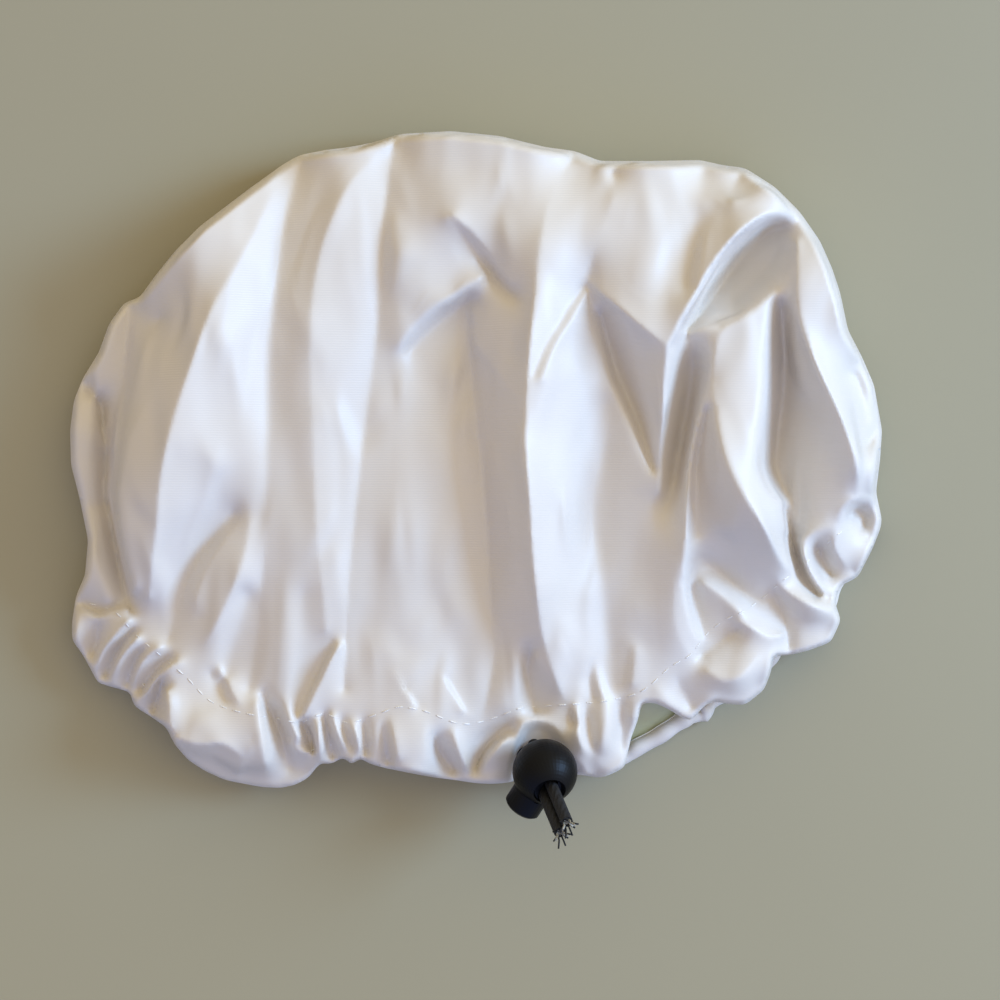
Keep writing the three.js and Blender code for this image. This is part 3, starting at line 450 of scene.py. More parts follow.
# %% Pleats of the casing
folds.update({
    "crumple edge": (SHARP, [
        (74, 607, 10), (85, 612, 13.5), (99, 618, 15.5), (112, 612, 17), (129, 609, 19)]),
    "crumple foot": (SHARP, [(80, 602, 9), (98, 611, 10.5), (115, 605, 13), (130, 602, 16)]),
    "white facet": (CRISP, [(75, 615, 13), (76, 630, 14), (80, 641, 12)]),
    "white facet foot": (SHARP, [(99, 624, 12), (98, 640, 8.5), (93, 655, 7)]),
    "crumple one": (SHARP, [(129, 620, 21), (115, 636, 19), (103, 649, 17), (97, 666, 13.5)]),
    "crumple one crease": (SHARP, [(134, 630, 16), (122, 644, 12.5), (112, 660, 10), (106, 676, 7.5)]),
    "crumple two": (SHARP, [(138, 638, 22), (127, 648, 20), (118, 662, 17.5), (110, 679, 13)]),
    "crumple two crease": (SHARP, [(143, 650, 16), (136, 660, 13), (131, 672, 10.5), (127, 686, 8)]),
    "crumple three": (SHARP, [(161, 647, 23), (147, 655, 21), (138, 668, 18.5), (133, 684, 14)]),
    "crumple three crease": (SHARP, [(170, 658, 18), (158, 668, 15), (148, 680, 12), (140, 692, 9)]),
    "crumple four": (SHARP, [
        (180, 662, 24), (168, 667, 23), (157, 678, 20), (148, 690, 16.5), (136, 702, 13)]),
    "leaf crease": (SHARP, [(162, 682, 14), (158, 698, 10), (154, 712, 8.5)]),
    "pouch shoulder": (CRISP, [(186, 672, 23), (176, 674, 22.5), (168, 680, 21.5)]),
    "pouch dip": (EASY, [(186, 692, 22.5), (208, 706, 22.5), (230, 706, 23)]),
    "pouch swell": (EASY, [(178, 716, 24.5), (198, 724, 25), (222, 726, 25)]),
    "pouch left edge": (SHARP, [(167, 690, 23), (168, 710, 24.5), (171, 727, 24), (176, 737, 23)]),
    "pouch bottom edge": (SHARP, [
        (176, 737, 24.5), (186, 744, 25.5), (203, 746, 26), (220, 743, 26), (232, 749, 25),
        (241, 756, 23)]),
    "pouch under": (EASY, [
        (180, 748, 12), (190, 758, 10.5), (207, 768, 9.5), (227, 777, 9.5), (246, 781, 10),
        (264, 784, 10.5), (282, 784, 11)]),
    "pouch fold": (SHARP, [(235, 776, 14), (242, 763, 20), (249, 750, 24), (252, 736, 25)]),
    "gather three crest": (SHARP, [(394, 672, 26.2), (404, 690, 26.4), (413, 706, 26.2)]),
    "gather three crease": (SHARP, [(401, 674, 25.6), (411, 692, 25.2), (420, 707, 24.6)]),
    "gather four crest": (SHARP, [(440, 676, 24.8), (452, 694, 24.6), (463, 712, 24)]),
    "gather four crease": (SHARP, [(447, 677, 24), (459, 696, 23.2), (470, 717, 21.8)]),
    "gather five crest": (SHARP, [(220, 668, 22.5), (229, 686, 23.5), (238, 702, 24.5)]),
    "gather five crease": (SHARP, [(210, 672, 20.8), (218, 690, 20.6), (226, 703, 21)]),
    "gather six crest": (SHARP, [(594, 660, 20.8), (598, 680, 21), (604, 700, 21.5)]),
    "gather six crease": (SHARP, [(586, 664, 20.2), (590, 682, 19.4), (594, 700, 18.8)]),
    "gather seven crest": (SHARP, [(636, 648, 22.8), (634, 666, 22.4), (632, 684, 22)]),
    "gather seven crease": (SHARP, [(627, 650, 21.4), (625, 668, 20.4), (623, 688, 19.6)]),
    "pleat one": (CRISP, [(257, 700, 25), (260, 722, 26), (263, 745, 25.5), (266, 766, 22)]),
    "pleat one crease": (SHARP, [
        (263, 690, 22), (270, 710, 17.5), (279, 728, 15.5), (286, 748, 14), (290, 768, 11)]),
    "pleat two": (CRISP, [(284, 700, 24), (290, 722, 25), (298, 738, 25)]),
    "pleat two lip": (SHARP, [(290, 742, 22), (298, 751, 21), (310, 752, 20.5)]),
    "pleat two under": (EASY, [(297, 766, 13), (307, 768, 12)]),
    "pleat two crease": (SHARP, [(302, 722, 18), (309, 735, 16), (314, 752, 13)]),
    "pleat three": (CRISP, [(318, 722, 25.5), (318, 740, 26.5), (318, 754, 24.5)]),
    "pleat three crease": (SHARP, [(325, 714, 21), (327, 728, 18), (330, 742, 16.5), (333, 757, 14)]),
    "pleat four": (CRISP, [(331, 716, 25), (337, 732, 25.5), (344, 748, 23)]),
    "pleat four crease": (SHARP, [(340, 718, 22), (346, 734, 20), (352, 748, 18.5)]),
    "pleat five": (CRISP, [(352, 724, 25.5), (357, 738, 26), (360, 750, 24)]),
    "pleat five crease": (SHARP, [(364, 722, 21.5), (366, 740, 18.5), (365, 753, 16)]),
    "pleat six": (EASY, [(374, 718, 25), (375, 738, 25.5), (376, 755, 23.5)]),
    "pleat six crease": (SHARP, [(382, 724, 24), (385, 745, 20), (388, 763, 16)]),
    "pleat seven": (CRISP, [(391, 712, 25.5), (394, 738, 27), (397, 759, 26)]),
    "pleat seven right": (EASY, [(424, 716, 25), (427, 740, 25.8), (429, 763, 24.5)]),
    "pleat seven crease": (SHARP, [(434, 736, 20.5), (438, 750, 15.5), (448, 762, 13), (455, 771, 11.5)]),
    "pleat eight": (CRISP, [(452, 730, 24), (458, 750, 24), (466, 768, 21)]),
    "pleat eight crease": (SHARP, [(511, 726, 16), (494, 740, 13), (484, 752, 12), (476, 768, 10.5)]),
    "pleat eight lip": (SHARP, [(510, 738, 20), (500, 744, 21), (490, 755, 20.5), (482, 768, 18)]),
    "arch edge": (SHARP, [
        (507, 778, 15), (512, 756, 18.5), (517, 737, 20), (524, 723, 20.5), (533, 720, 20),
        (548, 722, 20), (560, 733, 19.5), (570, 752, 18), (582, 767, 16), (598, 776, 11)]),
    "arch inside": (SHARP, [
        (514, 779, 8), (518, 758, 11), (523, 743, 14.5), (531, 731, 16.5), (545, 731, 16.5),
        (555, 742, 14.5), (565, 757, 11), (577, 771, 8)]),
    "pleat nine": (CRISP, [(576, 706, 22), (578, 735, 23), (584, 752, 20.5)]),
    "pleat nine crease": (SHARP, [
        (585, 698, 20), (588, 722, 17.5), (591, 744, 18), (598, 760, 17), (602, 769, 14.5)]),
    "pleat ten": (EASY, [(606, 708, 22.5), (606, 732, 23), (604, 748, 21.5)]),
    "pleat ten dip": (EASY, [(618, 748, 16.5), (613, 760, 14)]),
    "pleat ten crease": (SHARP, [(621, 700, 18.5), (622, 728, 15.5), (620, 750, 13)]),
    "pleat eleven": (CRISP, [(633, 700, 21), (632, 718, 20)]),
    "mouth pleat": (CRISP, [(655, 688, 22), (664, 697, 21.5), (676, 708, 19)]),
    "mouth crease": (SHARP, [(676, 676, 20.5), (684, 694, 17), (692, 708, 15)]),
    "right pouch": (CRISP, [(706, 670, 23), (724, 682, 24.5), (744, 676, 24.5), (757, 658, 23)]),
    "right pouch under": (EASY, [(716, 698, 16.5), (732, 700, 15.5), (748, 696, 15.5), (762, 682, 15)]),
    "right pouch crease": (SHARP, [(700, 657, 17.5), (720, 642, 17.5), (738, 630, 18.5)]),
    "right pouch top": (SHARP, [(738, 622, 23.5), (752, 628, 24.5), (770, 638, 22.5), (783, 634, 20)]),
    "right flap": (CRISP, [(778, 586, 24), (795, 597, 25), (815, 607, 23.5), (834, 616, 17)]),
    "right flap crease": (SHARP, [(774, 592, 18), (782, 612, 15.5), (786, 630, 14.5), (789, 648, 14)]),
    "right flap foot": (EASY, [(800, 640, 16.5), (818, 634, 15.5), (830, 630, 13.5)]),
    "corner loop": (SHARP, [(838, 524, 24), (845, 507, 26.5), (859, 497, 26), (870, 494, 20)]),
    "corner rim": (SHARP, [(875, 504, 17), (876, 520, 16), (869, 538, 14)]),
    "corner hollow": (SHARP, [(850, 517, 13.5), (857, 509, 13), (865, 516, 12.5), (863, 527, 12.5)]),
    "corner leaf edge": (SHARP, [(837, 532, 24), (834, 548, 22.5), (843, 562, 18.5), (855, 573, 13)]),
    "corner leaf foot": (SHARP, [(819, 547, 14), (823, 562, 12.5), (831, 575, 11.5)]),
    "corner strip": (SHARP, [
        (801, 541, 23), (804, 558, 24), (810, 574, 22.5), (819, 588, 19), (829, 599, 15)]),
    "corner band": (CRISP, [(801, 541, 23), (810, 534, 23.5), (822, 529, 24), (837, 527, 24.5)]),
})
print("fold lines in all:", len(folds))

# %% [markdown]
# ## From fold lines to a sheet
# Between the lines the cloth is stretched, so its height settles like a soap film with a little swell.
# A cloth simulation would make folds of its own, and never these. The film keeps each fold in its place.
# It is solved on a raster of the picture, first coarse and then finer.

# %% Settle the film between the fold lines
FOLD_SAMPLE = 0.5
FILM_STEPS = [20.0, 10.0, 5.0, 2.5, 1.25]
FILM_ROUNDS = [600, 400, 300, 200, 120]
FILM_START = 25.0
SWELL_PER_MM = 0.011
TINY = 1e-6


def smooth_line(points, spacing):
    """A smooth line through points, as rows of values a given number of pixels apart."""
    knots = np.array(points, float)
    runs = np.maximum(np.hypot(np.diff(knots[:, 0]), np.diff(knots[:, 1])), TINY)
    at = np.concatenate([[0.0], np.cumsum(runs)])
    if len(knots) > 2:
        slope = np.gradient(knots, at, axis=0)
    else:
        slope = np.repeat(np.diff(knots, axis=0) / runs[0], 2, axis=0)
    places = np.linspace(0.0, at[-1], max(2, int(at[-1] / spacing) + 1))
    index = np.clip(np.searchsorted(at, places, side="right") - 1, 0, len(runs) - 1)
    run = runs[index][:, None]
    t = ((places - at[index]) / runs[index])[:, None]
    start, finish = knots[index], knots[index + 1]
    return ((2 * t**3 - 3 * t**2 + 1) * start + (t**3 - 2 * t**2 + t) * run * slope[index]
            + (3 * t**2 - 2 * t**3) * finish + (t**3 - t**2) * run * slope[index + 1])


def inside_loop(loop, xs, ys):
    """For a grid of pixels, which lie inside a closed loop. Each row is cut where the loop crosses it."""
    mask = np.zeros((len(ys), len(xs)), bool)
    x0, y0 = loop[:, 0], loop[:, 1]
    x1, y1 = np.roll(x0, -1), np.roll(y0, -1)
    for row, y in enumerate(ys):
        hit = (y0 <= y) != (y1 <= y)
        cuts = np.sort(x0[hit] + (y - y0[hit]) / (y1[hit] - y0[hit]) * (x1[hit] - x0[hit]))
        for left, right in zip(cuts[0::2], cuts[1::2]):
            mask[row] |= (xs >= left) & (xs <= right)
    return mask


def neighbour_sum(grid):
    """Sum of the four neighbours of each cell, with nothing beyond the raster."""
    padded = np.pad(grid, 1)
    return padded[:-2, 1:-1] + padded[2:, 1:-1] + padded[1:-1, :-2] + padded[1:-1, 2:]


fold_samples = {name: (softness, smooth_line(points, FOLD_SAMPLE))
                for name, (softness, points) in folds.items()}
film = None
for step, rounds in zip(FILM_STEPS, FILM_ROUNDS):
    size = int(PICTURE / step)
    centres = (np.arange(size) + 0.5) * step
    inside = inside_loop(edge, centres, centres).astype(float)
    total = np.zeros((size, size))
    weight = np.zeros((size, size))
    for _, samples in fold_samples.values():
        column = np.clip((samples[:, 0] / step).astype(int), 0, size - 1)
        row = np.clip((samples[:, 1] / step).astype(int), 0, size - 1)
        np.add.at(total, (row, column), samples[:, 2])
        np.add.at(weight, (row, column), 1.0)
    fixed = weight > 0
    pinned = total / np.maximum(weight, 1)
    film = np.full((size, size), FILM_START) if film is None else np.kron(film, np.ones((2, 2)))
    count = np.maximum(neighbour_sum(inside), 1)
    swell = SWELL_PER_MM * (step * MM_PER_PIXEL) ** 2 / 4
    for _ in range(rounds):
        settled = neighbour_sum(film * inside) / count + swell
        film = np.where(fixed, pinned, np.where(inside > 0, settled, film))
film_step = FILM_STEPS[-1]
print("film heights:", round(film[inside > 0].min(), 1), "to", round(film[inside > 0].max(), 1), "mm")

# %% [markdown]
# The film is sharp along every line, but satin turns sharply in some folds and softly in others.
# One blur for all would lose the creases, so blurs of several widths are made once,
# and each place takes a blend of the two that suit the nearest fold line best.

# %% Ease each fold by its own softness
EASE_LEVELS = [0.3, 0.6, 1.2, 2.4, 4.8]
EASE_GROWTH = 0.12
EASE_MOST = 3.5
MARK_EVERY = 4
SOFTNESS_STEP = 5.0
SOFTNESS_BLUR = 1.0
LEAST_COVER = 1e-4
CELL_SLIP = 0.001


def blurred(grid, mask, reach):
    """A grid eased by a bell curve of a given reach in cells, inside a mask only."""
    size = grid.shape[0]
    waves = np.fft.fftfreq(size)[:, None] ** 2 + np.fft.rfftfreq(size)[None, :] ** 2
    bell = np.exp(-2 * (math.pi * reach) ** 2 * waves)
    top = np.fft.irfft2(np.fft.rfft2(grid * mask) * bell, s=grid.shape)
    base = np.fft.irfft2(np.fft.rfft2(mask) * bell, s=grid.shape)
    return top / np.maximum(base, LEAST_COVER)


def sampled(grid, step, spots):
    """Values of a grid at rows of pixels, blended from the four nearest cells."""
    last = grid.shape[0] - 1 - CELL_SLIP
    x = np.clip(spots[:, 0] / step - 0.5, 0, last)
    y = np.clip(spots[:, 1] / step - 0.5, 0, last)
    column, row = x.astype(int), y.astype(int)
    u, v = x - column, y - row
    upper = grid[row, column] * (1 - u) + grid[row, column + 1] * u
    lower = grid[row + 1, column] * (1 - u) + grid[row + 1, column + 1] * u
    return upper * (1 - v) + lower * v


def spot_tree(spots):
    """A search tree of spots of the picture."""
    tree = kdtree.KDTree(len(spots))
    for index, spot in enumerate(spots):
        tree.insert((spot[0], spot[1], 0), index)
    tree.balance()
    return tree


def nearest_in(tree, spots):
    """For rows of pixels, the place in a search tree of the nearest spot, and how far away it is."""
    found = [tree.find((spot[0], spot[1], 0)) for spot in spots]
    return [item[1] for item in found], np.array([item[2] for item in found])


def cell_centres(step):
    """Rows of the pixels at the centres of square cells that cover the picture, and the cells in a row."""
    cells = int(PICTURE / step)
    centres = (np.arange(cells) + 0.5) * step
    across, down = np.meshgrid(centres, centres)
    return np.column_stack([across.ravel(), down.ravel()]), cells


levels = [blurred(film, inside, level / (film_step * MM_PER_PIXEL)) for level in EASE_LEVELS]
marks = [(mark, softness) for softness, samples in fold_samples.values() for mark in samples[::MARK_EVERY]]
fold_softness = np.array([softness for _, softness in marks])
spots, cells = cell_centres(SOFTNESS_STEP)
nearest, away = nearest_in(spot_tree([mark for mark, _ in marks]), spots)
softness_map = np.minimum(fold_softness[nearest] + EASE_GROWTH * away * MM_PER_PIXEL, EASE_MOST)
softness_map = softness_map.reshape(cells, cells)
softness_map = blurred(softness_map, np.ones_like(softness_map), SOFTNESS_BLUR)


def film_height(spots):
    """Height of the eased film in mm at rows of pixels."""
    ease = np.clip(sampled(softness_map, SOFTNESS_STEP, spots), EASE_LEVELS[0], EASE_LEVELS[-1])
    heights = [sampled(level, film_step, spots) for level in levels]
    result = heights[0]
    for low, high, before, after in zip(EASE_LEVELS, EASE_LEVELS[1:], heights, heights[1:]):
        share = np.clip((ease - low) / (high - low), 0, 1)
        result = np.where(ease > low, before * (1 - share) + after * share, result)
    return result


print("softness from", round(softness_map.min(), 2), "to", round(softness_map.max(), 2), "mm")

# %% [markdown]
# At its outline the cloth doesn't stop like a cut card, it bends down over the rim or the hem.
# The film is therefore brought down to the outline along a quarter round, whose reach is larger at the rim.

# %% Front heights with the rim and hem rolled over
MAIN_CREST = (525.0, 450.0)
FIRST_VALLEY = (268.0, 400.0)
edge_tree = spot_tree(edge)


def front_height(spots):
    """Height of the front in mm at rows of pixels: the film, bent down towards the outline."""
    nearest, away = nearest_in(edge_tree, spots)
    base, reach = edge[nearest, 2], edge[nearest, 3]
    share = np.clip(away / reach, 0, 1)
    bend = np.sqrt(np.maximum(1 - (1 - share) ** 2, 0))
    return base + (film_height(spots) - base) * bend


heights = front_height(np.array([MAIN_CREST, FIRST_VALLEY]))
print("main crest and first valley:", heights.round(1), "mm")

# %% [markdown]
# ## The outer crown
# The crown is one round of satin, laid down with its front over its back and its mouth at the hem.
# A plain grid would leave steps along slanted creases, so the sheet is filled with triangles
# whose edges follow the crisp lines. These helpers fill a loop, join rows of points into a strip
# and weld parts into one mesh.

# %% Helpers for sheets
WELD = 2e-6
SAME_SPOT = 1e-5
INSIDE_ONLY = 1


def outward(loop):
    """Unit directions in the picture that point out of a loop, at each of its points."""
    along = np.roll(loop[:, :2], -1, axis=0) - np.roll(loop[:, :2], 1, axis=0)
    out = np.column_stack([along[:, 1], -along[:, 0]])
    out /= np.maximum(np.hypot(out[:, 0], out[:, 1])[:, None], TINY)
    area = np.sum(loop[:, 0] * np.roll(loop[:, 1], -1) - loop[:, 1] * np.roll(loop[:, 0], -1))
    return out if area > 0 else -out


def filled(loop, step, margin, lines=()):
    """Flat triangles that fill a loop of pixels: the loop, lines that edges follow, and a grid between."""
    spots = [tuple(point[:2]) for point in loop]
    edges = [(index, (index + 1) % len(loop)) for index in range(len(loop))]
    loop_tree = spot_tree(spots)
    for line in lines:
        last = None
        for x, y in line[:, :2]:
            near_edge = loop_tree.find((x, y, 0))[2] < margin
            if near_edge or not inside_loop(loop, np.array([x]), np.array([y]))[0, 0]:
                last = None
                continue
            spots.append((x, y))
            if last is not None:
                edges.append((last, len(spots) - 1))
            last = len(spots) - 1
    xs = np.arange(loop[:, 0].min(), loop[:, 0].max(), step)
    ys = np.arange(loop[:, 1].min(), loop[:, 1].max(), step)
    mask = inside_loop(loop, xs, ys)
    grid = [(x, y) for y, row in zip(ys, mask) for x, keep in zip(xs, row) if keep]
    tree = spot_tree(spots)
    spots += [spot for spot in grid if tree.find((spot[0], spot[1], 0))[2] > margin]
    corners = [Vector(spot) for spot in spots]
    flat, _, faces, _, _, _ = delaunay_2d_cdt(corners, edges, [], INSIDE_ONLY, SAME_SPOT)
    return np.array([(point.x, point.y) for point in flat]), faces


def strip(rows, closed):
    """Points and quads of a strip made of rows of (pixel, pixel, height), each with the same count."""
    count = len(rows[0])
    points = [point for row in rows for point in world_points(row, row[:, 2])]
    faces = []
    for low in range(len(rows) - 1):
        for index in range(count if closed else count - 1):
            after = (index + 1) % count
            base, top = low * count, (low + 1) * count
            faces.append((base + index, base + after, top + after, top + index))
    return points, faces


def add_sheet(name, parts):
    """One mesh object from parts of (points in metres, faces), welded where they meet."""
    mesh = bpy.data.meshes.new(name)
    build = bmesh.new()
    for points, faces in parts:
        verts = [build.verts.new(point) for point in points]
        for face in faces:
            build.faces.new([verts[index] for index in face])
    bmesh.ops.remove_doubles(build, verts=build.verts, dist=WELD)
    bmesh.ops.recalc_face_normals(build, faces=build.faces)
    for face in build.faces:
        face.smooth = True
    build.to_mesh(mesh)
    build.free()
    sheet = bpy.data.objects.new(name, mesh)
    scene.collection.objects.link(sheet)
    return sheet


# %% Front of the outer crown
FRONT_STEP = 2.5
FRONT_MARGIN = 1.3
CRISP_EVERY = 5

crisp_lines = [samples[::CRISP_EVERY] for softness, samples in fold_samples.values() if softness <= CRISP]
front_flat, front_faces = filled(edge, FRONT_STEP, FRONT_MARGIN, crisp_lines)
front_part = (world_points(front_flat, front_height(front_flat)), front_faces)
print("front triangles:", len(front_faces))

# %% [markdown]
# At the rim the cloth turns under to the table. At the hem it turns in round the cord,
# and then climbs to the seam. Both turns are rows of points beside the outline, each a little further round.

# %% Turned edges of the front
BACK_HEIGHT = 0.4
TURN_ROWS = 6
RIM_TUCK = 0.75
HEM_ROLL = 2.6
HEM_HURRY = 1.35
SEAM_STARTS = 0.74
SEAM_CLIMB = 3.0
HEM_ROOM = 1.2
FREE_ROWS = 2

out = outward(edge)
is_rim = np.arange(len(edge)) < rim_count
turn_rows = []
for row in range(TURN_ROWS + 1):
    share = row / TURN_ROWS
    angle = share * math.pi / 2
    rim_in = edge[:, 2] * RIM_TUCK * (1 - math.cos(angle))
    rim_z = BACK_HEIGHT + (edge[:, 2] - BACK_HEIGHT) * (1 - math.sin(angle))
    hem_angle = min(share * HEM_HURRY, 1.0) * math.pi
    hem_in = HEM_ROLL * (1 - math.cos(hem_angle))
    climb = SEAM_CLIMB * max(share - SEAM_STARTS, 0) / (1 - SEAM_STARTS)
    hem_z = edge[:, 2] - HEM_ROLL * math.sin(hem_angle) + climb
    inset = np.where(is_rim, rim_in, hem_in) / MM_PER_PIXEL
    height = np.where(is_rim, rim_z, hem_z)
    place = edge[:, :2] - out * inset[:, None]
    if row >= FREE_ROWS:
        height = np.minimum(height, front_height(place) - HEM_ROOM)
    turn_rows.append(np.column_stack([place, height]))
turn_part = strip(turn_rows, closed=True)
print("turned edges:", len(turn_rows), "rows")

# %% [markdown]
# The back lies flat on the table. Its hem is rolled over its own half of the casing,
# and small puckers along the roll show that the cord pulls it together.

# %% Back of the outer crown and its rolled hem
BACK_HEM = [
    (868, 548), (846, 578), (830, 622), (788, 646), (766, 676), (738, 697), (715, 708), (708, 722),
    (693, 723), (662, 744), (641, 755), (628, 764), (600, 770), (560, 772), (500, 772), (440, 768),
    (380, 760), (330, 752), (292, 776), (240, 776), (206, 764), (180, 740), (152, 712), (134, 696),
    (102, 676), (82, 652), (76, 630),
]
BACK_HEM_STEP = 3.0
BACK_EASING = 12
BACK_STEP = 8.0
BACK_MARGIN = 5.0
BACK_ROLL = 2.6
ROLL_ROWS = 9
ROLL_TURN = math.radians(250)
PUCKER_EVERY = 8.5
PUCKER_SHARE = 0.12
PUCKER_MEAN = 0.6
PUCKER_CHANGE = 0.4
PUCKER_DRIFT = 0.19

back_hem = even_line(BACK_HEM, BACK_HEM_STEP)[1:-1]
rim_foot = turn_rows[-1][:rim_count:2, :2]
back_out = rounded_loop(outward(np.vstack([rim_foot, back_hem])), BACK_EASING)[len(rim_foot):]
back_out /= np.hypot(back_out[:, 0], back_out[:, 1])[:, None]
back_hem -= back_out * BACK_ROLL / MM_PER_PIXEL
back_flat, back_faces = filled(np.vstack([rim_foot, back_hem]), BACK_STEP, BACK_MARGIN)
back_part = (world_points(back_flat, np.full(len(back_flat), BACK_HEIGHT)), back_faces)

along_hem = np.arange(len(back_hem)) * BACK_HEM_STEP * MM_PER_PIXEL
pucker_size = PUCKER_MEAN + PUCKER_CHANGE * np.sin(along_hem * PUCKER_DRIFT)
pucker = np.sin(2 * math.pi * along_hem / PUCKER_EVERY) * pucker_size
roll_radius = BACK_ROLL * (1 + PUCKER_SHARE * pucker)
roll_rows = []
for angle in np.linspace(0, ROLL_TURN, ROLL_ROWS):
    reach = roll_radius * math.sin(angle) / MM_PER_PIXEL
    height = BACK_HEIGHT + roll_radius * (1 - math.cos(angle))
    roll_rows.append(np.column_stack([back_hem + back_out * reach[:, None], height]))
roll_part = strip(roll_rows, closed=False)
outer = add_sheet("satin_crown", [front_part, turn_part, back_part, roll_part])
print("outer crown faces:", len(outer.data.polygons))

# %% [markdown]
# ## The lining
# The lining is a second bag of sage satin inside the crown. It follows the front a little below it,
# passes under the cord at the hem, lies on the back and climbs the inside of the casing,
# so it shows through the mouth. A copy of the crown that is moved down would cut through steep folds,
# so the lining hangs from the lowest heights nearby.

# %% Heights of the lining under the front
LINING_STEP = 6.0
LINING_GAP = 1.6
LINING_BACK = 1.4
LINING_ROOM = 1.0
OUTSIDE_HEIGHT = 9.0
LOWEST_ROUNDS = 2
LINING_BLUR = 1.2
LINING_RISE = 1.0
CASING_WIDTH = 18.0
TUCK_REACH = 7.5
CORD_DEPTH = 2.6
LOWEST_TUCK = 5.6

spots, cells = cell_centres(LINING_STEP)
centres = spots[:cells, 0]
under = front_height(spots).reshape(cells, cells)
lowest = np.where(inside_loop(edge, centres, centres), under, OUTSIDE_HEIGHT)
for _ in range(LOWEST_ROUNDS):
    shifts = [np.roll(lowest, (rows, columns), (0, 1)) for rows in (-1, 0, 1) for columns in (-1, 0, 1)]
    lowest = np.minimum.reduce(shifts)
soft_lowest = blurred(lowest, np.ones_like(lowest), LINING_BLUR)
lining_map = np.minimum(soft_lowest, lowest + LINING_RISE) - LINING_GAP
front_hem = edge[rim_count:]
front_hem_tree = spot_tree(front_hem)


def lining_height(spots):
    """Heights in mm of the lining: it follows the folds, and passes under the cord at the hem."""
    nearest, away = nearest_in(front_hem_tree, spots)
    under_folds = np.maximum(sampled(lining_map, LINING_STEP, spots), LINING_BACK + LINING_ROOM)
    under_cord = np.maximum(front_hem[nearest, 2] - CORD_DEPTH, LOWEST_TUCK)
    share = np.clip((away * MM_PER_PIXEL - TUCK_REACH) / (CASING_WIDTH - TUCK_REACH), 0, 1)
    return np.minimum(under_folds, under_cord + (under_folds - under_cord) * share**2 * (3 - 2 * share))


print("lining between", lining_map.min().round(1), "and", lining_map.max().round(1), "mm")

# %% Lining bag inside the crown
LINING_EASING = 40
LINING_INSET = 10.0
LINING_MARGIN = 4.0
LINING_CLIMB = 3.4
CLIMB_REACH = 16.0
MOUTH_FOLD = 7.0
MOUTH_REACH = 80.0
INNER_HEM_INSET = 1.0
SIDE_SHARES = [1.0, 0.5, 0.0]

lining_loop = rounded_loop(edge[:, :2], LINING_EASING)
lining_loop = lining_loop - outward(lining_loop) * LINING_INSET
lining_flat, lining_faces = filled(lining_loop[::2], LINING_STEP, LINING_MARGIN)
lining_front = (world_points(lining_flat, lining_height(lining_flat)), lining_faces)

side = lining_loop[:rim_count:2]
side_drop = lining_height(side) - LINING_BACK
side_rows = [np.column_stack([side, LINING_BACK + side_drop * share]) for share in SIDE_SHARES]
lining_side = strip(side_rows, closed=False)

inner_hem = back_hem - back_out * INNER_HEM_INSET / MM_PER_PIXEL
inner_flat, inner_faces = filled(np.vstack([side, inner_hem[1:-1:2]]), LINING_STEP, LINING_MARGIN)
_, from_hem = nearest_in(spot_tree(inner_hem), inner_flat)
climb = np.clip(1 - from_hem / CLIMB_REACH, 0, 1) ** 2
mouth_fold = np.sin(math.pi * np.clip(from_hem / MOUTH_REACH, 0, 1)) ** 2
back_z = LINING_BACK + LINING_CLIMB * climb + MOUTH_FOLD * mouth_fold
lining_back = (world_points(inner_flat, back_z), inner_faces)
lining = add_sheet("satin_lining", [lining_front, lining_side, lining_back])
print("lining faces:", len(lining.data.polygons))

# %% [markdown]
# ## Threads and cord in the hem
# A running stitch closes the casing. On the real bonnet one thread dips through both satins again and again.
# Only its short upper runs are seen, so one stitch is modelled as a long bead, and copied along the line
# on the front and beside the hem on the back.

# %% Topstitch along the casing
STITCH_LINE = [
    (92, 604), (112, 610), (135, 634), (160, 655), (185, 676), (212, 702), (240, 712), (275, 718),
    (300, 722), (325, 714), (345, 722), (375, 715), (400, 707), (420, 710), (465, 724), (500, 716),
    (522, 708), (545, 706), (575, 704), (610, 700), (640, 692), (672, 666), (690, 655), (705, 636),
    (725, 620), (742, 612), (765, 596), (780, 583), (800, 568), (822, 548), (846, 528),
]
STITCH_LENGTH = 0.0026
STITCH_EVERY = 4.2
STITCH_SAMPLE = 1.0
STITCH_RISE = 0.05
THREAD = 0.00038
BACK_STITCH_IN = 15.0
BACK_STITCH_DROP = 0.1

bpy.ops.object.select_all(action="DESELECT")
bpy.ops.mesh.primitive_uv_sphere_add(segments=8, ring_count=6, radius=0.5)
stitch = bpy.context.object
stitch.data.transform(((STITCH_LENGTH, 0, 0, 0), (0, THREAD, 0, 0), (0, 0, THREAD, 0), (0, 0, 0, 1)))
bpy.ops.object.shade_smooth()


def copied_stitches(line, heights, spacing):
    """Copies of the stitch along a line of pixels at given heights, turned to follow it."""
    places = [Vector(point) for point in world_points(line, heights)]
    copies = []
    for index in range(1, len(places) - 1, spacing):
        along = places[index + 1] - places[index - 1]
        if along.length < THREAD:
            continue
        copy = stitch.copy()
        copy.data = stitch.data.copy()
        scene.collection.objects.link(copy)
        copy.matrix_world = along.to_track_quat("X", "Z").to_matrix().to_4x4()
        copy.location = places[index]
        copies.append(copy)
    return copies


def joined(parts):
    """The parts as one object, which keeps the name of the first."""
    bpy.ops.object.select_all(action="DESELECT")
    for part in parts:
        part.select_set(True)
    bpy.context.view_layer.objects.active = parts[0]
    bpy.ops.object.join()
    return bpy.context.object


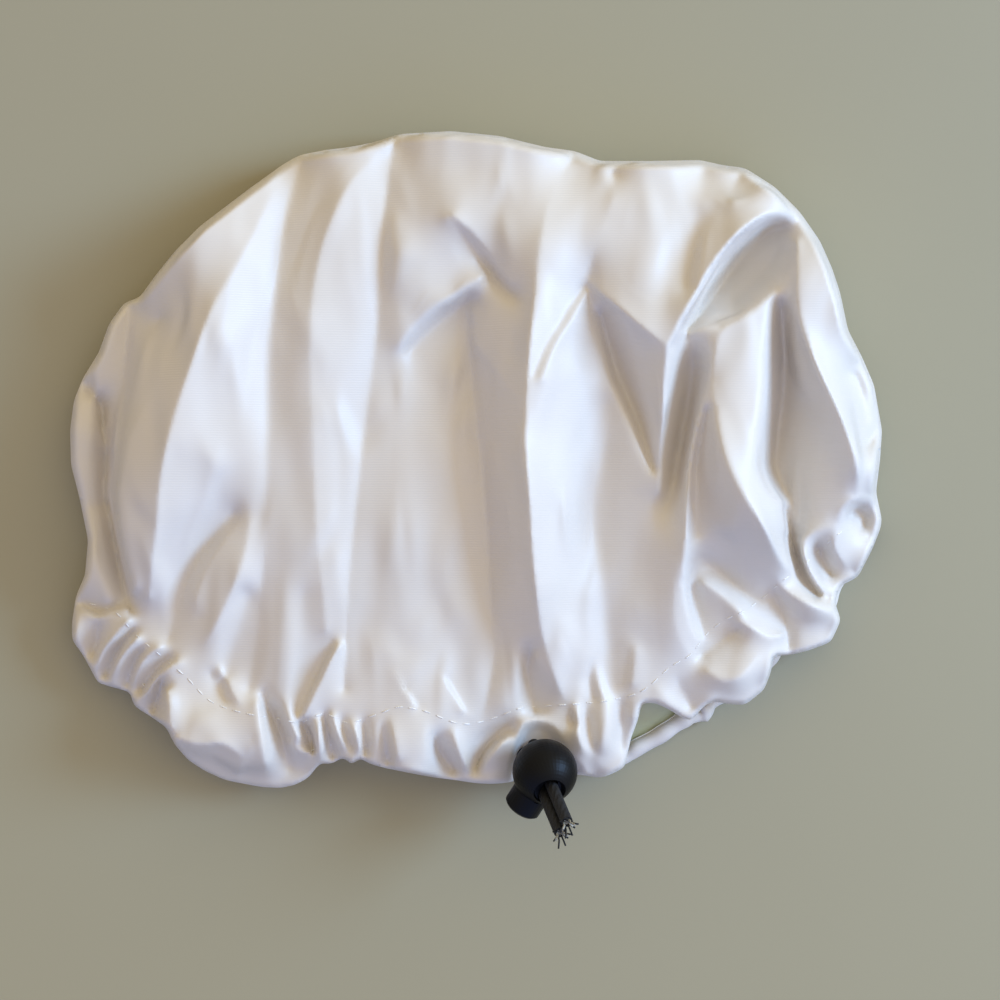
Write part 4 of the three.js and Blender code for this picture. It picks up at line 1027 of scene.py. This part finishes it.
stitch_line = smooth_line(STITCH_LINE, STITCH_SAMPLE)
stitch_heights = front_height(stitch_line) + STITCH_RISE
copies = copied_stitches(stitch_line, stitch_heights, round(STITCH_EVERY / MM_PER_PIXEL))
back_line = back_hem - back_out * BACK_STITCH_IN / MM_PER_PIXEL
back_heights = np.full(len(back_line), BACK_HEIGHT - BACK_STITCH_DROP)
copies += copied_stitches(back_line, back_heights, round(STITCH_EVERY / MM_PER_PIXEL / BACK_HEM_STEP))
stitch_count = len(copies)

bpy.data.objects.remove(stitch)
topstitch = joined(copies)
bpy.ops.object.transform_apply(location=True, rotation=True, scale=True)
topstitch.name = "topstitch_thread"
print("stitches:", stitch_count)

# %% [markdown]
# The seam thread joins both satins where the front and the back hem end. It is a thin closed tube.
# A tube could be swept by hand, but a curve with a round bevel does it, and is then turned into a mesh.

# %% Seam thread along the hem
SEAM_EASING = 3
TUBE_ROUNDNESS = 2


def round_curve(name, thickness, roundness, caps=True):
    """An empty curve object with a round bevel of a given thickness."""
    curve = bpy.data.curves.new(name, "CURVE")
    curve.dimensions = "3D"
    curve.bevel_depth = thickness / 2
    curve.bevel_resolution = roundness
    curve.use_fill_caps = caps
    cord = bpy.data.objects.new(name, curve)
    scene.collection.objects.link(cord)
    return cord


def tube_along(name, points, thickness, closed=False):
    """A tube mesh of a given thickness along points in metres."""
    tube = round_curve(name, thickness, TUBE_ROUNDNESS, caps=not closed)
    spline = tube.data.splines.new("POLY")
    spline.points.add(len(points) - 1)
    spline.points.foreach_set("co", [value for point in points for value in (*point, 1.0)])
    spline.use_cyclic_u = closed
    bpy.ops.object.select_all(action="DESELECT")
    tube.select_set(True)
    bpy.context.view_layer.objects.active = tube
    bpy.ops.object.convert(target="MESH")
    bpy.ops.object.shade_smooth()
    return bpy.context.object


seam_ends = np.vstack([turn_rows[-1][rim_count:][::-1], roll_rows[-1]])
seam_loop = rounded_loop(seam_ends, SEAM_EASING)
seam = tube_along("seam_thread", world_points(seam_loop, seam_loop[:, 2]), THREAD, closed=True)
print("seam faces:", len(seam.data.polygons))

# %% [markdown]
# The elastic drawcord runs round the hem inside the casing: from right of the lock along the front hem,
# back through the roll of the back hem, and on to left of the lock. It keeps below the cloth above it
# and is eased like a stretched cord. A rubber core runs inside its braid.

# %% Drawcord and core inside the hem
CORD = 0.0036
CORE = 0.0023
LOCK_LEFT = 491
LOCK_RIGHT = 602
CORD_INSET = 4.5
CORD_ROOM = 2.6
CORD_PROBES = [2.5, 4.5, 6.5]
CORD_SPAN = 7
CORD_FLOOR = 4.0
CORD_EASING = 30


def eased_line(line, times):
    """An open line with its bends eased by averaging neighbours; its ends stay."""
    for _ in range(times):
        line[1:-1] = 0.5 * line[1:-1] + 0.25 * (line[:-2] + line[2:])
    return line


front_in = -out[rim_count:] / MM_PER_PIXEL
ceiling = np.min([front_height(front_hem[:, :2] + front_in * reach) for reach in CORD_PROBES], axis=0)
lowest = np.min([np.roll(ceiling, shift) for shift in range(-CORD_SPAN, CORD_SPAN + 1)], axis=0)
cord_z = np.maximum(np.minimum(front_hem[:, 2], lowest - CORD_ROOM), CORD_FLOOR)
casing_front = np.column_stack([front_hem[:, :2] + front_in * CORD_INSET, cord_z])
casing_back = np.column_stack([back_hem, np.full(len(back_hem), BACK_HEIGHT + BACK_ROLL)])
right_half = casing_front[casing_front[:, 0] > LOCK_RIGHT][::-1]
left_half = casing_front[casing_front[:, 0] < LOCK_LEFT][::-1]
cord_line = eased_line(np.vstack([right_half, casing_back, left_half]), CORD_EASING)[::2]
cord_points = world_points(cord_line, cord_line[:, 2])
drawcord = tube_along("drawcord_loop", cord_points, CORD)
drawcord_core = tube_along("drawcord_loop_core", cord_points, CORE)
print("drawcord faces:", len(drawcord.data.polygons))

# %% [markdown]
# ## The two tails
# Both ends of the drawcord leave the casing under the lock, pass up through it and end cut and frayed.
# Their routes repeat the points of the CAD part. They stay curves, so that their points can still be moved.

# %% Tails of the drawcord
LEFT_TAIL = [
    (0.00577, -0.07949, 0.01460), (0.00865, -0.07963, 0.01376), (0.01052, -0.07904, 0.01310),
    (0.01368, -0.07874, 0.01240), (0.01584, -0.08082, 0.01565), (0.01797, -0.08543, 0.02293),
    (0.02010, -0.09005, 0.03020), (0.02223, -0.09466, 0.03748), (0.02436, -0.09927, 0.04476),
]
RIGHT_TAIL = [
    (0.03667, -0.07756, 0.01460), (0.03323, -0.07843, 0.01376), (0.02547, -0.07641, 0.01310),
    (0.01800, -0.07564, 0.01240), (0.01776, -0.07772, 0.01705), (0.01989, -0.08234, 0.02433),
    (0.02202, -0.08695, 0.03161), (0.02415, -0.09156, 0.03888), (0.02628, -0.09618, 0.04616),
]
CORD_ROUNDNESS = 3
CORD_FINENESS = 8


def cord_curve(name, points, thickness):
    """A round curve of one smooth open spline through points in metres."""
    cord = round_curve(name, thickness, CORD_ROUNDNESS)
    cord.data.resolution_u = CORD_FINENESS
    spline = cord.data.splines.new("BEZIER")
    spline.bezier_points.add(len(points) - 1)
    for knot, point in zip(spline.bezier_points, points):
        knot.co = point
        knot.handle_left_type = "AUTO"
        knot.handle_right_type = "AUTO"
    return cord


left_tail = cord_curve("tail_left", LEFT_TAIL, CORD)
right_tail = cord_curve("tail_right", RIGHT_TAIL, CORD)
left_core = cord_curve("tail_left_core", LEFT_TAIL, CORE)
right_core = cord_curve("tail_right_core", RIGHT_TAIL, CORE)
print("tails:", left_tail.name, right_tail.name)

# %% [markdown]
# A cut braid opens, so black strands and a few ends of the pale rubber stand out of each tail.
# Hair particles could do this, but so few strands are quicker as short bent tubes, fanned round the end.

# %% Loose strands at the cut ends
FRAY = {"count": 8, "length": 0.0042, "thickness": 0.0005, "spread": 0.0020}
RUBBER_ENDS = {"count": 3, "length": 0.0036, "thickness": 0.0007, "spread": 0.0012}
STRAND_SWING = 2.4
STRAND_MEAN = 0.6
STRAND_CHANGE = 0.4
STRAND_BEAT = 1.7
STRAND_PHASE = 1.0
STRAND_ROOT = 0.001
BEND_ALONG = 0.5
BEND_ASIDE = 0.35


def strands(name, route, count, length, thickness, spread):
    """Thin loose strands that fan out of the cut end of a tail, as one mesh."""
    end = Vector(route[-1])
    along = (end - Vector(route[-2])).normalized()
    side = along.orthogonal().normalized()
    other = along.cross(side)
    start = CORE / 3
    tubes = []
    for index in range(count):
        swing = STRAND_SWING * index
        lean = side * math.cos(swing) + other * math.sin(swing)
        reach = length * (STRAND_MEAN + STRAND_CHANGE * math.sin(STRAND_BEAT * index + STRAND_PHASE))
        root = end - along * STRAND_ROOT + lean * start
        bend = end + along * reach * BEND_ALONG + lean * (start + spread * BEND_ASIDE)
        tip = end + along * reach + lean * (start + spread)
        tubes.append(tube_along(name, [root, bend, tip], thickness))
    return joined(tubes)


left_fray = strands("tail_left_fray", LEFT_TAIL, **FRAY)
right_fray = strands("tail_right_fray", RIGHT_TAIL, **FRAY)
left_rubber = strands("tail_left_rubber_ends", LEFT_TAIL, **RUBBER_ENDS)
right_rubber = strands("tail_right_rubber_ends", RIGHT_TAIL, **RUBBER_ENDS)
print("loose strands:", left_fray.name, right_fray.name)

# %% [markdown]
# ## The spring of the lock
# The spring is a coil of steel wire between the plunger and the bottom of its bore.
# A plain sleeve would not look like wire, so a loop works out a helix. Its place and length are those
# of the CAD spring.

# %% Coil of the spring
SPRING_WIRE = 0.0005
SPRING_TURNS = 2.5
TURN_STEPS = 20
PRESS_AXIS = Vector((0.491046, 0.793505, 0.359477)).normalized()

cad_spring = nodes["lock_spring"]
across_axis = PRESS_AXIS.orthogonal().normalized()
up_axis = PRESS_AXIS.cross(across_axis)
spring_points = [cad_spring.matrix_world @ vertex.co for vertex in cad_spring.data.vertices]
ends = []
for axis in (PRESS_AXIS, across_axis, up_axis):
    reaches = [point.dot(axis) for point in spring_points]
    ends.append((min(reaches), max(reaches)))
spring_length = ends[0][1] - ends[0][0]
spring_radius = (ends[1][1] - ends[1][0] - SPRING_WIRE) / 2
spring_axis = across_axis * sum(ends[1]) / 2 + up_axis * sum(ends[2]) / 2
coil_points = []
for step in range(int(SPRING_TURNS * TURN_STEPS) + 1):
    turn = 2 * math.pi * step / TURN_STEPS
    share = step / (SPRING_TURNS * TURN_STEPS)
    rise = ends[0][0] + SPRING_WIRE / 2 + (spring_length - SPRING_WIRE) * share
    ring = across_axis * math.cos(turn) + up_axis * math.sin(turn)
    coil_points.append(spring_axis + PRESS_AXIS * rise + ring * spring_radius)
coil = tube_along("spring_coil", coil_points, SPRING_WIRE)
print("spring length", round(1000 * spring_length, 2), "mm")

# %% [markdown]
# ## Materials
# Satin is woven with long floats of smooth thread, so it is bright where it faces the light.
# Fine ribs run across it, and the cloth is never quite flat between two folds.
# A picture of cloth could show this, but waves and noise need no file,
# and each can be made stronger or weaker by one number.

# %% Satin and thread
RIB_PITCH = 0.0007
WAVE_STRIPES = 20.0


def satin(name, pale, deep):
    """Woven satin: soft gloss, fine ribs across, a faint change of tone and slight unevenness."""
    material, tree, shader, place = new_material(name)
    cloud = add_node(tree, "ShaderNodeTexNoise", {"Vector": (place, "Object")}, Scale=60.0, Detail=3.0)
    two_tones(tree, shader, (cloud, "Fac"), pale, deep)
    ribs = add_node(tree, "ShaderNodeTexWave", {"Vector": (place, "Object")}, bands_direction="Y",
                    Scale=2 * math.pi / (WAVE_STRIPES * RIB_PITCH), Distortion=1.5, Detail=2.0)
    stretch = add_node(tree, "ShaderNodeMapping", {"Vector": (place, "Object")}, Scale=(1.0, 0.45, 1.0))
    uneven = add_node(tree, "ShaderNodeTexNoise", {"Vector": (stretch, "Vector")}, Scale=42.0, Detail=1.0)
    wrinkles = add_node(tree, "ShaderNodeTexNoise", {"Vector": (stretch, "Vector")},
                        noise_type="RIDGED_MULTIFRACTAL", Scale=70.0, Detail=1.0, Distortion=0.4)
    weave = add_node(tree, "ShaderNodeBump", {"Height": (ribs, "Fac")}, Strength=0.15, Distance=0.0001)
    crumple = add_node(tree, "ShaderNodeBump", {"Height": (wrinkles, "Fac"), "Normal": (weave, "Normal")},
                       Strength=0.8, Distance=0.0036)
    drape = add_node(tree, "ShaderNodeBump", {"Height": (uneven, "Fac"), "Normal": (crumple, "Normal")},
                     Strength=0.8, Distance=0.0065)
    tree.links.new(drape.outputs["Normal"], shader.inputs["Normal"])
    set_inputs(shader, Roughness=0.42, Specular_IOR_Level=0.35, Sheen_Weight=0.15, Sheen_Roughness=0.4)
    return material


def twisted(name, pale, deep, pitch, roughness):
    """Thread or braid: slanted strands of two tones round a cord, with a bump."""
    material, tree, shader, place = new_material(name)
    twist = add_node(tree, "ShaderNodeTexWave", {"Vector": (place, "Object")}, bands_direction="DIAGONAL",
                     Scale=2 * math.pi / (WAVE_STRIPES * pitch), Distortion=2.0, Detail=1.0)
    two_tones(tree, shader, (twist, "Fac"), deep, pale)
    lift = add_node(tree, "ShaderNodeBump", {"Height": (twist, "Fac")}, Strength=0.6, Distance=pitch / 4)
    tree.links.new(lift.outputs["Normal"], shader.inputs["Normal"])
    set_inputs(shader, Roughness=roughness)
    return material


white_satin = satin("white_polyester_satin", "#dbd3c9", "#d5cdc1")
sage_satin = satin("sage_polyester_satin", "#c6c8a6", "#bcbe9a")
white_thread = twisted("white_polyester_thread", "#efece6", "#e2ded6", pitch=0.0004, roughness=0.6)
black_braid = twisted("black_braided_polyester", "#0e0f12", "#050507", pitch=0.0009, roughness=0.75)
pale_rubber = twisted("pale_elastic_rubber", "#b9b8ad", "#8b8a80", pitch=0.0006, roughness=0.5)
print("satins and threads:", white_satin.name, sage_satin.name, white_thread.name)

# %% [markdown]
# The lock is moulded in black plastic, and its spring is drawn steel wire. Both are even in colour,
# so only their gloss changes from place to place, with fine scuffs in the bump.

# %% Plastic and steel of the lock
GLOSS_CHANGE = 0.1


def moulded(name, colour, roughness, scuff, **sockets):
    """Moulded plastic or drawn wire: a small change of gloss and fine scuffs."""
    material, tree, shader, place = new_material(name)
    wear = add_node(tree, "ShaderNodeTexNoise", {"Vector": (place, "Object")}, Scale=700.0, Detail=4.0)
    gloss = add_node(tree, "ShaderNodeMapRange", {"Value": (wear, "Fac")}, To_Min=roughness - GLOSS_CHANGE,
                     To_Max=roughness + GLOSS_CHANGE)
    tree.links.new(gloss.outputs["Result"], shader.inputs["Roughness"])
    scratch = add_node(tree, "ShaderNodeBump", {"Height": (wear, "Fac")}, Strength=scuff, Distance=0.00005)
    tree.links.new(scratch.outputs["Normal"], shader.inputs["Normal"])
    set_inputs(shader, Base_Color=linear(colour), **sockets)
    return material


black_plastic = moulded("black_moulded_plastic", "#07080a", roughness=0.42, scuff=0.3,
                        Specular_IOR_Level=0.15)
spring_steel = moulded("spring_steel_wire", "#b4b6ba", roughness=0.3, scuff=0.2, Metallic=1.0)
for node in ("lock_barrel", "lock_plunger"):
    nodes[node].data.materials.clear()
    nodes[node].data.materials.append(black_plastic)
print("materials:", len(bpy.data.materials))

# %% [markdown]
# ## Hand the pieces over
# Each new piece rides on the body of the CAD solids that it replaces, and takes its material.
# The loose strands replace nothing.

pieces = [
    (outer, white_satin, "satin_white", "outer_crown"),
    (lining, sage_satin, "satin_sage", "crown_lining"),
    (topstitch, white_thread, "thread_white", "casing_topstitch"),
    (seam, white_thread, "thread_white", "edge_seam_thread"),
    (drawcord, black_braid, "braid_black", "drawcord_braid"),
    (drawcord_core, pale_rubber, "rubber_pale", "drawcord_core"),
    (left_tail, black_braid, "braid_black", "tail_braid_left"),
    (left_core, pale_rubber, "rubber_pale", "tail_core_left"),
    (right_tail, black_braid, "braid_black", "tail_braid_right"),
    (right_core, pale_rubber, "rubber_pale", "tail_core_right"),
    (left_fray, black_braid, "braid_black", None),
    (right_fray, black_braid, "braid_black", None),
    (left_rubber, pale_rubber, "rubber_pale", None),
    (right_rubber, pale_rubber, "rubber_pale", None),
]
for piece, material, slot, node in pieces:
    piece.data.materials.clear()
    piece.data.materials.append(material)
    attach(piece, "bonnet")
    if node:
        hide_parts(node)

coil.data.materials.append(spring_steel)
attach(coil, "cord_lock")
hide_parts("lock_spring")
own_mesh(coil)

print("pieces handed over:", len(pieces) + 1)
